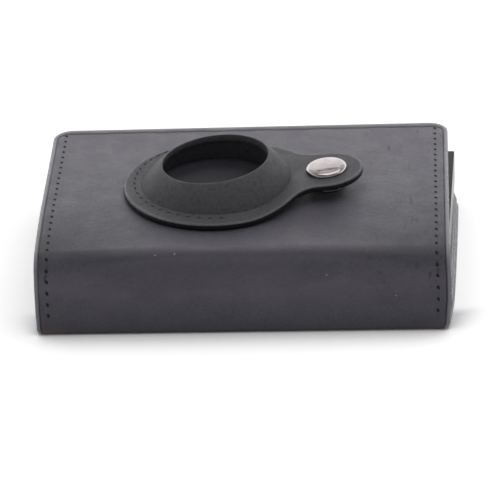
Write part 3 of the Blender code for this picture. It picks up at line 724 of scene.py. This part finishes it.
def wall_ring(radius, share=0.0):
    """A line round the dome: a circle of the given radius, spread towards the foot by a share."""
    reaches = [radius + (foot_radius(angle) - radius) * share for angle in foot_angles]
    return [(reach * math.cos(angle), reach * math.sin(angle)) for reach, angle in zip(reaches, foot_angles)]


def neck_ring(share):
    """A line between the tongue's inner outline and the dome's foot."""
    pairs = zip(pocket_outline(NECK_INSET), wall_ring(CREST_RADIUS, 1.0))
    return [(a[0] + (b[0] - a[0]) * share, a[1] + (b[1] - a[1]) * share) for a, b in pairs]


def pocket_rings():
    """Every ring of the pocket as (line of points, height), round the section and back to the start."""
    edge = [(0.30, 0.0), (0.09, 0.10), (0.0, 0.30), (0.0, 1.12), (0.06, 1.34), (0.18, 1.47), (0.40, 1.52),
            (0.9, 1.50), (2.4, 1.50)]
    rings = [(pocket_outline(inset * MM), height * MM) for inset, height in edge]
    for step in range(NECK_STEPS):
        rings.append((neck_ring(step / NECK_STEPS), FLANGE))
    rings.append((neck_ring(1.0), FLANGE - 0.05 * MM))
    for step in range(1, WALL_STEPS + 1):
        share = step / WALL_STEPS
        climb = share * (1.0 + WALL_SWELL * (1.0 - share))
        rings.append((wall_ring(CREST_RADIUS, 1.0 - share), FLANGE + (RIM_HEIGHT - FLANGE) * climb))
    lip = [(13.22, 0.06), (13.06, 0.03), (13.0, -0.12), (13.0, -1.25), (13.08, -1.44), (13.4, -1.5)]
    rings += [(wall_ring(radius * MM), RIM_HEIGHT + drop * MM) for radius, drop in lip]
    roof = RIM_HEIGHT - POCKET_LEATHER
    for radius in spaced(HOLLOW_TOP, HOLLOW_FOOT, HOLLOW_STEP):
        rings.append((wall_ring(radius), roof * eased((HOLLOW_FOOT + 0.1 * MM - radius) / (1.5 * MM))))
    for step in range(NECK_STEPS, -1, -1):
        rings.append((neck_ring(step / NECK_STEPS), 0.0))
    return rings


def pocket_point(x, y, height):
    """A point of the pocket in the frame."""
    share = max(0.0, (height - FLANGE) / (RIM_HEIGHT - FLANGE))
    return Vector((flap_axis.x + x, flap_axis.y + y, POCKET_BASE + rise(x, share) + height))


print("pocket rings:", len(pocket_rings()))

# %% Build the pocket
# The pocket's lowest rings, its underside and side, carry painted shade.
SHADED_EDGE_RINGS = 4


def join_round(form, ring, second):
    """Faces all the way round between two closed rings."""
    for here in range(len(ring)):
        ahead = (here + 1) % len(ring)
        form.faces.new((ring[here], ring[ahead], second[ahead], second[here]))


def make_pocket():
    """Join the rings into a closed band, whose lowest edge carries painted shade."""
    form = bmesh.new()
    distance = form.verts.layers.float.new("edge_distance")
    lines = []
    for line, height in pocket_rings():
        lines.append([form.verts.new(pocket_point(x, y, height)) for x, y in line])
    for ring, second in zip(lines, lines[1:] + lines[:1]):
        join_round(form, ring, second)
    for number, ring in enumerate(lines):
        for vert, edge_vert in zip(ring, lines[2]):
            vert[distance] = -MM if number < SHADED_EDGE_RINGS else (vert.co - edge_vert.co).xy.length
    bmesh.ops.remove_doubles(form, verts=form.verts, dist=2 * WELD)
    return finished("tracker_pocket", form, 50.0)


pocket = make_pocket()
dress(pocket, pocket_leather, "outer_leather", "pocket_fixed_half", "pocket_free_half")
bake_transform(pocket)

# %% [markdown]
# ## Metal, plastic and felt
# The snap is nickel-plated brass. Its cap is polished and a little scratched, and its inner parts under the
# strap get a darker nickel, which is painted shade. The card case is brushed aluminium, whose fine lines
# run along its length, so its noise is stretched along X. Its mouth and lever are moulded black plastic
# with a fine spark texture, its end cap is smooth, darker and hardly shines, as painted shade under the
# cover's edge, and the felt strips are short, fuzzy and matt.


# %% Metal and plastic
def nickel_material(name, dull, bright, smooth):
    material, tree, shader, where = start_material(name, smooth, 1.0)
    haze = ramped(tree, noise(tree, where, 2.5 * MM, 4.0), 0.3, 0.7)
    link_colour(tree, shader, mixed(tree, haze, dull, bright))
    link_roughness(tree, shader, ramped(tree, haze, 0.0, 1.0, smooth, smooth + 0.05))
    scratches = noise(tree, stretched(tree, where, (1.0, 14.0, 1.0)), 1.2 * MM, 2.0)
    link_bumps(tree, shader, [(scratches, 0.0015 * MM)])
    return material


def aluminium_material():
    material, tree, shader, where = start_material("satin_aluminium", 0.36, 1.0)
    lines = noise(tree, stretched(tree, where, (0.02, 1.0, 1.0)), 0.12 * MM)
    patches = noise(tree, where, 12 * MM)
    link_colour(tree, shader, mixed(tree, patches, (0.42, 0.425, 0.44), (0.50, 0.505, 0.52)))
    link_roughness(tree, shader, ramped(tree, lines, 0.2, 0.8, 0.30, 0.44))
    link_bumps(tree, shader, [(lines, 0.006 * MM)])
    return material


def plastic_material(name, dark, pale, patch, smooth, rough, shine=0.5, spark=0.0):
    """Black plastic, polished unevenly. spark is the depth of its fine texture."""
    material, tree, shader, where = start_material(name, smooth)
    patches = noise(tree, where, patch)
    link_colour(tree, shader, mixed(tree, patches, dark, pale))
    link_roughness(tree, shader, ramped(tree, patches, 0.2, 0.8, smooth, rough))
    shader.inputs["Specular IOR Level"].default_value = shine
    if spark:
        link_bumps(tree, shader, [(noise(tree, where, 0.18 * MM, 2.0), spark)])
    return material


nickel = nickel_material("polished_nickel", (0.29, 0.26, 0.26), (0.34, 0.305, 0.305), 0.025)
# A darker copy of the nickel for the snap's parts under the strap: painted shade.
shaded_nickel = nickel_material("painted_shade_nickel", (0.14, 0.13, 0.13), (0.26, 0.25, 0.25), 0.16)
aluminium = aluminium_material()
plastic = plastic_material("moulded_black_plastic", (0.022, 0.022, 0.024), (0.036, 0.036, 0.039), 6 * MM,
                           0.40, 0.52, spark=0.012 * MM)
# The case's end cap: darker colours and a weak reflection, as painted shade under the cover's edge.
shade_darkened_cap_plastic = plastic_material("polished_shade_darkened_plastic", (0.014, 0.014, 0.016), (0.022, 0.022, 0.024),
                                    5 * MM, 0.15, 0.24, shine=0.08)
print("finishes so far:", [material.name for material in bpy.data.materials])


# %% Felt, thread and needle holes
def felt_material():
    material, tree, shader, where = start_material("black_felt", 0.95)
    fuzz = noise(tree, where, 0.25 * MM, 5.0, 0.7)
    link_colour(tree, shader, mixed(tree, fuzz, (0.020, 0.020, 0.022), (0.075, 0.075, 0.080)))
    shader.inputs["Sheen Weight"].default_value = 0.4
    link_bumps(tree, shader, [(fuzz, 0.10 * MM)])
    return material


def thread_material():
    material, tree, shader, where = start_material("waxed_thread", 0.55)
    wave = {"Vector": where, "Scale": 1.0 / (0.5 * MM), "Distortion": 1.5}
    twist = add_node(tree, "ShaderNodeTexWave", wave, bands_direction="DIAGONAL").outputs["Fac"]
    link_colour(tree, shader, mixed(tree, twist, (0.016, 0.015, 0.018), (0.038, 0.036, 0.041)))
    link_bumps(tree, shader, [(twist, 0.03 * MM)])
    return material


def hole_material():
    """A needle hole: nothing but shade."""
    material, tree, shader, where = start_material("needle_hole_shade", 0.95)
    depth = noise(tree, where, 0.2 * MM, 1.0)
    link_colour(tree, shader, mixed(tree, depth, (0.003, 0.003, 0.004), (0.008, 0.008, 0.009)))
    return material


felt = felt_material()
thread = thread_material()
needle_hole_shade = hole_material()
print("textiles:", felt.name, thread.name, needle_hole_shade.name)

# %% [markdown]
# ## The seams
# Every seam is saddle-stitched with black waxed thread, 2.85 mm a stitch, through slanted holes that
# a pricking iron leaves. From a distance only the holes show, as a line of small black dots, because the
# thread sinks into the leather between them. One Geometry Nodes tree makes all the seams: it spaces
# points along a guide line, turns each to the line and to the leather's surface, and puts a sunken
# thread there and a hole, which is a black lozenge of painted shade. The guides come from the wrapping
# functions, so the seams lie on the leather.

# %% One stitch
SEAM_SEED = 7
HOLE_LIFT = 0.04 * MM
SEAM_SIZES = {"Pitch": 2.85 * MM, "Thread Length": 2.2 * MM, "Thread Radius": 0.24 * MM, "Sink": 0.34 * MM,
              "Hole Length": 1.12 * MM, "Hole Width": 0.72 * MM, "Hole Slant": math.radians(24),
              "Wobble": math.radians(12)}


def half_of(tree, value):
    return combined(tree, "MULTIPLY", value, 0.5)


def xyz(tree, x, y, z):
    """A vector from three values or sockets."""
    return add_node(tree, "ShaderNodeCombineXYZ", {0: x, 1: y, 2: z}).outputs[0]


def transformed(tree, mesh, **changes):
    """A mesh with a Scale, Rotation or Translation."""
    return add_node(tree, "GeometryNodeTransform", {"Geometry": mesh, **changes}).outputs[0]


def seam_thread(tree, given):
    """One stretch of thread between two holes: a long bead sunk into the leather."""
    ball = {"Segments": 10, "Rings": 8, "Radius": 1.0}
    bead = add_node(tree, "GeometryNodeMeshUVSphere", ball).outputs["Mesh"]
    scale = xyz(tree, half_of(tree, given["Thread Length"]), given["Thread Radius"], given["Thread Radius"])
    drop = xyz(tree, half_of(tree, given["Pitch"]), 0.0, combined(tree, "MULTIPLY", given["Sink"], -1.0))
    return transformed(tree, bead, Scale=scale, Translation=drop)


def seam_hole(tree, given):
    """A slanted hole, as a flat black lozenge of painted shade just above the leather."""
    ring = {"Vertices": 8, "Radius": 1.0}
    disc = add_node(tree, "GeometryNodeMeshCircle", ring, fill_type="NGON").outputs["Mesh"]
    scale = xyz(tree, half_of(tree, given["Hole Length"]), half_of(tree, given["Hole Width"]), 1.0)
    disc = transformed(tree, disc, Scale=scale)
    disc = transformed(tree, disc, Rotation=xyz(tree, 0.0, 0.0, given["Hole Slant"]),
                       Translation=(0.0, 0.0, HOLE_LIFT))
    mark = {"Geometry": disc, "Name": "is_hole", "Value": True}
    marked = add_node(tree, "GeometryNodeStoreNamedAttribute", mark, data_type="BOOLEAN", domain="FACE")
    return marked.outputs[0]


print("a stitch and its hole:", {name: round(value, 5) for name, value in SEAM_SIZES.items()})


# %% The seam tree
def seam_turn(tree, given):
    """How a stitch is turned: along the line, flat on the leather, and a little at random."""
    tangent = tree.nodes.new("GeometryNodeInputTangent").outputs[0]
    normal = add_node(tree, "GeometryNodeInputNamedAttribute", {"Name": "surface_normal"},
                      data_type="FLOAT_VECTOR").outputs["Attribute"]
    turn = add_node(tree, "FunctionNodeAlignRotationToVector", {"Vector": tangent}, axis="X").outputs[0]
    turn = add_node(tree, "FunctionNodeAlignRotationToVector", {"Rotation": turn, "Vector": normal},
                    axis="Z", pivot_axis="X").outputs[0]
    wobble = tree.nodes.new("FunctionNodeRandomValue")
    ends = {"Min": combined(tree, "MULTIPLY", given["Wobble"], -1.0), "Max": given["Wobble"],
            "Seed": given["Seed"]}
    for socket in wobble.inputs:
        if socket.enabled and socket.name in ends:
            tree.links.new(ends[socket.name], socket)
    angle = next(socket for socket in wobble.outputs if socket.enabled)
    wobble = add_node(tree, "FunctionNodeAxisAngleToRotation", {"Axis": (0.0, 0.0, 1.0), "Angle": angle})
    return add_node(tree, "FunctionNodeRotateRotation", {"Rotation": turn, "Rotate By": wobble.outputs[0]},
                    rotation_space="LOCAL").outputs[0]


def seam_tree():
    """Guide lines in, stitches out."""
    tree = bpy.data.node_groups.new("seam", "GeometryNodeTree")
    for in_out in ("INPUT", "OUTPUT"):
        tree.interface.new_socket(name="Geometry", in_out=in_out, socket_type="NodeSocketGeometry")
    for name, value in {**SEAM_SIZES, "Seed": SEAM_SEED}.items():
        kind = "NodeSocketInt" if name == "Seed" else "NodeSocketFloat"
        tree.interface.new_socket(name=name, in_out="INPUT", socket_type=kind).default_value = value
    given = tree.nodes.new("NodeGroupInput").outputs
    line = add_node(tree, "GeometryNodeMeshToCurve", {"Mesh": given["Geometry"]}).outputs["Curve"]
    line = add_node(tree, "GeometryNodeResampleCurve", {"Curve": line, "Length": given["Pitch"]},
                    mode="LENGTH").outputs["Curve"]
    both = add_node(tree, "GeometryNodeJoinGeometry")
    for part in (seam_thread(tree, given), seam_hole(tree, given)):
        tree.links.new(part, both.inputs[0])
    stitches = {"Points": line, "Instance": both.outputs[0], "Rotation": seam_turn(tree, given)}
    made = add_node(tree, "GeometryNodeInstanceOnPoints", stitches).outputs[0]
    made = add_node(tree, "GeometryNodeRealizeInstances", {"Geometry": made}).outputs[0]
    is_hole = add_node(tree, "GeometryNodeInputNamedAttribute", {"Name": "is_hole"}, data_type="BOOLEAN")
    for finish in ({"Material": thread}, {"Material": needle_hole_shade, "Selection": is_hole.outputs[0]}):
        made = add_node(tree, "GeometryNodeSetMaterial", {"Geometry": made, **finish}).outputs[0]
    tree.links.new(made, tree.nodes.new("NodeGroupOutput").inputs["Geometry"])
    return tree


seam = seam_tree()
seam_inputs = {item.name: item.identifier for item in seam.interface.items_tree
               if item.item_type == "SOCKET" and item.in_out == "INPUT"}
print("seam inputs:", list(seam_inputs))

# %% Making seams
GUIDE_STEP = 0.5 * MM
SEAM_INSET = 3.2 * MM
SEAM_END = 3.6 * MM
FOOT_GAP = 0.9 * MM


def surface_frame(wrap, x, p):
    """A point on a wrapped sheet's face and the outward normal there."""
    here = wrap(x, p, 0.0)
    normal = (wrap(x, p, 0.05 * MM) - here).normalized()
    return here, normal


def make_seam(name, guides, sizes=()):
    """Turn guide lines, each a list of (point, normal), into stitches as one plain mesh."""
    mesh = bpy.data.meshes.new(name + "_guide")
    points = [point for guide in guides for point, _ in guide]
    edges, start = [], 0
    for guide in guides:
        edges += [(start + number, start + number + 1) for number in range(len(guide) - 1)]
        start += len(guide)
    mesh.from_pydata(points, edges, [])
    normals = mesh.attributes.new("surface_normal", "FLOAT_VECTOR", "POINT")
    for number, normal in enumerate(normal for guide in guides for _, normal in guide):
        normals.data[number].vector = normal
    guide_object = bpy.data.objects.new(name + "_guide", mesh)
    bpy.context.collection.objects.link(guide_object)
    modifier = guide_object.modifiers.new("seam", "NODES")
    modifier.node_group = seam
    for key, value in dict(sizes).items():
        modifier[seam_inputs[key]] = value
    graph = bpy.context.evaluated_depsgraph_get()
    made = bpy.data.meshes.new_from_object(guide_object.evaluated_get(graph))
    bpy.data.objects.remove(guide_object)
    piece = bpy.data.objects.new(name, made)
    bpy.context.collection.objects.link(piece)
    print(name, "faces:", len(made.polygons))
    return piece


def side_guides(wrap, first, last):
    """Two guide lines along a sheet's left and right sides."""
    places = spaced(first, last, GUIDE_STEP)
    return [[surface_frame(wrap, side * (HALF_WIDTH - SEAM_INSET), p) for p in places] for side in (-1, 1)]


cover_seam = make_seam("cover_seam", side_guides(front_wrap, COVER_LENGTH - SEAM_END,
                                                 SPINE_CUT - COVER_TOP + FOOT_GAP))
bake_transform(cover_seam)
back_seam = make_seam("back_seam", side_guides(back_wrap, 4.0 * MM, COVER_LENGTH - SEAM_END),
                      {"Sink": 0.40 * MM})
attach(back_seam, "back")

# %% The pocket's seam
SEAM_RADIUS = 20.9 * MM
SEAM_SHIFT = Vector((0.6 * MM, 1.6 * MM))
SEAM_FIRST = math.radians(95)
SEAM_LAST = math.radians(274)
POCKET_SEAM_SIZES = {"Pitch": 2.7 * MM, "Thread Length": 2.5 * MM, "Thread Radius": 0.26 * MM,
                     "Sink": 0.2 * MM, "Hole Length": 1.3 * MM, "Hole Width": 0.5 * MM,
                     "Hole Slant": math.radians(12)}


def pocket_seam_point(angle):
    """A point of the arc that the seam follows on the flange, and the flange's normal."""
    x = SEAM_SHIFT.x + SEAM_RADIUS * math.cos(angle)
    y = SEAM_SHIFT.y + SEAM_RADIUS * math.sin(angle)
    return pocket_point(x, y, FLANGE), Vector((0.0, 0.0, 1.0))


seam_angles = spaced(SEAM_FIRST, SEAM_LAST, GUIDE_STEP / SEAM_RADIUS)
pocket_seam = make_seam("pocket_seam", [[pocket_seam_point(angle) for angle in seam_angles]],
                        POCKET_SEAM_SIZES)
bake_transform(pocket_seam)

# %% [markdown]
# ## Softening the hard parts
# Pressed and machined parts never have knife edges. Each rigid solid is copied, its loose triangles are
# merged back into flat faces, and its edges get a small bevel that catches the light. The two leather
# copies have no burnished rim, so every copy gets an edge_distance that lies well inside the edge.

# %% Softened copies
NO_RIM = 5.0 * MM
BEVEL_SEGMENTS = 2
BEVEL_ANGLE = math.radians(28.0)


def flatten_shading(piece):
    """Let the large faces decide the shading, so that a bevel doesn't pull shadows across them."""
    modifier = piece.modifiers.new("weighted", "WEIGHTED_NORMAL")
    modifier.keep_sharp = True
    graph = bpy.context.evaluated_depsgraph_get()
    weighted = bpy.data.meshes.new_from_object(piece.evaluated_get(graph))
    piece.modifiers.clear()
    piece.data = weighted


def softened(node, name, finish, slot_name, body, width):
    """A copy of a CAD node with rounded edges, which stands for that node."""
    form = bmesh.new()
    form.from_mesh(frame["nodes"][node].data)
    bmesh.ops.remove_doubles(form, verts=form.verts, dist=2 * WELD)
    bmesh.ops.dissolve_limit(form, angle_limit=math.radians(1.0), verts=form.verts, edges=form.edges)
    edges = [edge for edge in form.edges
             if len(edge.link_faces) == 2 and edge.calc_face_angle() > BEVEL_ANGLE]
    bmesh.ops.bevel(form, geom=edges, offset=width, segments=BEVEL_SEGMENTS, affect="EDGES", profile=0.5,
                    clamp_overlap=True)
    piece = finished(name, form, 30.0)
    flatten_shading(piece)
    inland = piece.data.attributes.new("edge_distance", "FLOAT", "POINT")
    for point in inland.data:
        point.value = NO_RIM
    dress(piece, finish, slot_name, node)
    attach(piece, body)


HARD_PARTS = (
    ("card_case_shell", "brushed_case", aluminium, "case_metal", "back", 0.15),
    ("case_end_cap", "case_cap", shade_darkened_cap_plastic, "black_plastic", "back", 0.9),
    ("case_mouth_bezel", "mouth_bezel", plastic, "black_plastic", "back", 0.25),
    ("ejector_lever", "lever_moulding", plastic, "black_plastic", "lever", 0.12),
    ("lever_pivot_pin", "pin_turned", aluminium, "case_metal", "back", 0.20),
    ("snap_socket", "socket_pressed", shaded_nickel, "snap_nickel", "flap", 0.12),
    ("snap_stud", "stud_pressed", shaded_nickel, "snap_nickel", "front", 0.08),
    ("snap_post", "post_rivet", shaded_nickel, "snap_nickel", "front", 0.15),
    ("felt_strip_lower", "felt_lower", felt, "black_textile", "back", 0.12),
    ("felt_strip_upper", "felt_upper", felt, "black_textile", "back", 0.12),
    ("case_seat_pad", "case_seat", lining_leather, "lining_leather", "back", 0.25),
)
for node, name, finish, slot_name, body, width in HARD_PARTS:
    softened(node, name, finish, slot_name, body, width * MM)
spring = frame["nodes"]["lever_return_spring"]
spring.data.materials.clear()
spring.data.materials.append(aluminium)

# %% [markdown]
# ## The snap's cap
# The cap is a pressed disc: a broad, hardly crowned top that mirrors the studio, a rolled shoulder that
# mirrors the leather in front of it, and an edge that sits on the strap. It is turned like a piece on
# a lathe: each point of a short profile becomes a circle, and the circles are leaned with the strap.
# They are joined one after the other, so the mesh comes out in the same order on every run.

# %% Cap
CAP_TURNS = 96
CAP_WELD = 1e-7
CAP_CROWN = 0.12 * MM
CAP_LEAN = math.atan(STRAP_SLOPE)
SHOULDER_STEPS = 8
CROWN_STEPS = 6


def turned(name, profile, centre):
    """Turn a profile of (radius, height) that ends on the axis at both ends, and lean it with the strap."""
    form = bmesh.new()
    leaned = Matrix.Translation(centre) @ Matrix.Rotation(-CAP_LEAN, 4, "Y")
    rings = []
    for radius, height in profile:
        circle = arc((0.0, 0.0), radius, 0.0, math.tau, CAP_TURNS)[:-1]
        rings.append([form.verts.new(leaned @ Vector((x, y, height))) for x, y in circle])
    for ring, second in zip(rings, rings[1:]):
        join_round(form, ring, second)
    bmesh.ops.remove_doubles(form, verts=form.verts, dist=CAP_WELD)
    return finished(name, form, 40.0)


def cap_profile(radius):
    """From the underside's middle, out to the edge, over the shoulder and up to the crown."""
    edge_height = 0.30 * MM
    drop = 0.85 * MM
    shoulder = 1.25 * MM
    points = [(0.0, -0.3 * MM), (radius - 0.5 * MM, -0.3 * MM), (radius - 0.12 * MM, -0.05 * MM),
              (radius, 0.08 * MM), (radius, edge_height)]
    for step in range(1, SHOULDER_STEPS + 1):
        angle = math.pi / 2 * step / SHOULDER_STEPS
        points.append((radius - shoulder * (1 - math.cos(angle)), edge_height + drop * math.sin(angle)))
    flat = radius - shoulder
    for step in range(CROWN_STEPS - 1, -1, -1):
        share = step / CROWN_STEPS
        points.append((flat * share, edge_height + drop + CAP_CROWN * (1 - share ** 2)))
    return points


strap_top = POCKET_BASE + rise(STRAP_REACH) + FLANGE
cap = turned("snap_cap_pressed", cap_profile((snap_high.x - snap_low.x) / 2),
             Vector(((snap_low.x + snap_high.x) / 2, flap_axis.y, strap_top)))
dress(cap, nickel, "snap_nickel", "snap_cap")
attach(cap, "flap")

# %% [markdown]
# ## The inner panels
# The linings, note pockets and card slots are thin leather with burnished edges, and a creased line where
# their corners leave room for one. They are flat sheets, so the same ring builder makes them, with a wrap
# that only puts them in place. The back ones slant with the back cover, and the front ones show their
# face downwards, towards the cards.

# %% Panels
PANEL = 0.8 * MM
PANEL_STEP = 6.0 * MM
PANEL_START = 8.5 * MM
SLOT_CORNER = 0.9 * MM


def lay_up(level):
    """Lay a back panel with its face up, slanting with the back cover."""
    return lambda x, p, height: placed(*fanned(x, p), level + PANEL + height)


def lay_down(level):
    """Lay a front panel with its face down, off square as the front cover is."""
    return lambda x, p, height: placed(x, p + askew(x, p), level - height)


def make_panel(node, body, half, far, radius, wrap):
    """A panel with a creased line, or with plain corners where they are too small for one."""
    face = face_profile(radius) if radius > CREASE_INSET * 2 else [(radius, radius, 0.0)]
    piece = folded_sheet(node + "_leather", half, PANEL_START, far, radius, PANEL, [], wrap, face, PANEL_STEP)
    dress(piece, lining_leather, "lining_leather", node)
    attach(piece, body)


BACK_PANELS = (("back_lining", 0.4, 0.4), ("back_note_panel", 0.4, 0.7), ("back_card_slot", 0.8, 1.0))
for node, inset, drop in BACK_PANELS:
    make_panel(node, "back", HALF_WIDTH - inset * MM, COVER_LENGTH - drop * MM, BACK_CORNER - inset * MM,
               lay_up(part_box(node)[0].z))
for node in ("front_lining", "front_note_panel", *(f"front_card_slot_{number}" for number in (1, 2, 3))):
    low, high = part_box(node)
    radius = SLOT_CORNER if "slot" in node else FRONT_CORNER - 0.4 * MM
    make_panel(node, "front", (high.x - low.x) / 2, high.y - CENTRE.y, radius, lay_down(low.z))
softened("spine_lining", "spine_lining_leather", lining_leather, "lining_leather", "spine", 0.25 * MM)

# %% [markdown]
# ## Floor, light and background
# The photo is cut out on white with a soft shadow under the wallet. The floor is white paper, which the
# camera sees partly glowing, but not where the wallet shuts the light out, so a tight shadow is left.
# The object is lit by an even world and one overhead softbox. Dark leather shows mostly what it mirrors,
# so mirror rays see the world differently: bright at the horizon, which pales the cover where it is seen
# at a grazing angle, and darker overhead and in front. A dark gap between two of the studio's panels
# draws the thin line across the snap's cap.

# %% Floor
FLOOR_HALF = 1.6
PAPER_GLOW = 0.41
PAPER = (0.45, 0.45, 0.46)
PAPER_SEEN = (0.88, 0.88, 0.89)
CONTACT_REACH = 15 * MM
SHUT_IN = 0.45
IN_THE_OPEN = 0.93
WHITE = (1.0, 1.0, 1.0, 1.0)


def floor_material():
    """White paper. The camera sees it partly glowing, less and less close to the wallet's front."""
    material, tree, shader, where = start_material("white_paper_floor", 0.85)
    rays = tree.nodes.new("ShaderNodeLightPath").outputs
    seen = combined(tree, "MAXIMUM", rays["Is Camera Ray"], rays["Is Glossy Ray"])
    link_colour(tree, shader, mixed(tree, seen, PAPER, PAPER_SEEN))
    openness = add_node(tree, "ShaderNodeAmbientOcclusion", {"Distance": CONTACT_REACH}, samples=16)
    beside = ramped(tree, split(tree, where)["Y"], CENTRE.y - 2 * MM, CENTRE.y + 14 * MM)
    openness = combined(tree, "MAXIMUM", openness.outputs["AO"], beside)
    glow = ramped(tree, openness, SHUT_IN, IN_THE_OPEN, 0.0, PAPER_GLOW)
    shader.inputs["Emission Color"].default_value = WHITE
    tree.links.new(times(tree, seen, glow), shader.inputs["Emission Strength"])
    return material


form = bmesh.new()
bmesh.ops.create_grid(form, x_segments=1, y_segments=1, size=FLOOR_HALF)
floor = finished("floor", form)
floor.data.materials.append(floor_material())

# %% World
WORLD_LIGHT = 0.40
HORIZON_GLOSS = 2.1
OVERHEAD_GLOSS = 0.60
FRONT_GLOSS = 0.30
GAP_GLOSS = 0.2
GAP_HEIGHT = 0.512
GAP_EDGE = (0.007, 0.015)
OVERHEAD_RAMP = (0.25, 0.80)
FRONT_RAMP = (-0.55, 0.05)

world = bpy.data.worlds.new("white_studio")
bpy.context.scene.world = world
world.use_nodes = True
tree = world.node_tree
rays = tree.nodes.new("ShaderNodeLightPath").outputs
axes = split(tree, tree.nodes.new("ShaderNodeTexCoord").outputs["Generated"])
overhead = ramped(tree, axes["Z"], *OVERHEAD_RAMP, HORIZON_GLOSS, OVERHEAD_GLOSS)
gap = ramped(tree, apart(tree, axes["Z"], GAP_HEIGHT), *GAP_EDGE, GAP_GLOSS, 1.0)
front = ramped(tree, axes["Y"], *FRONT_RAMP, FRONT_GLOSS, 1.0)
mirrored = times(tree, overhead, gap, front)
seen = combined(tree, "MAXIMUM", rays["Is Camera Ray"], rays["Is Transmission Ray"])
strength = add_node(tree, "ShaderNodeMix", {0: rays["Is Glossy Ray"], 2: WORLD_LIGHT, 3: mirrored}).outputs[0]
strength = add_node(tree, "ShaderNodeMix", {0: seen, 2: strength, 3: 1.0}).outputs[0]
background = tree.nodes["Background"]
background.inputs["Color"].default_value = WHITE
tree.links.new(strength, background.inputs["Strength"])
print("world light:", WORLD_LIGHT, "and as mirrored at the horizon:", HORIZON_GLOSS)

# %% Softbox
SOFTBOX_PLACE = Vector((0.08, 0.05, 0.60))
SOFTBOX_SIZE = 0.6
SOFTBOX_WATTS = 1.9

softbox = bpy.data.objects.new("top_softbox", bpy.data.lights.new("top_softbox", "AREA"))
softbox.data.shape = "SQUARE"
softbox.data.size = SOFTBOX_SIZE
softbox.data.energy = SOFTBOX_WATTS
facing = (-SOFTBOX_PLACE).to_track_quat("-Z", "Y").to_matrix().to_4x4()
softbox.matrix_world = Matrix.Translation(SOFTBOX_PLACE) @ facing
bpy.context.collection.objects.link(softbox)
print("softbox at", list(SOFTBOX_PLACE), "with", SOFTBOX_WATTS, "W")
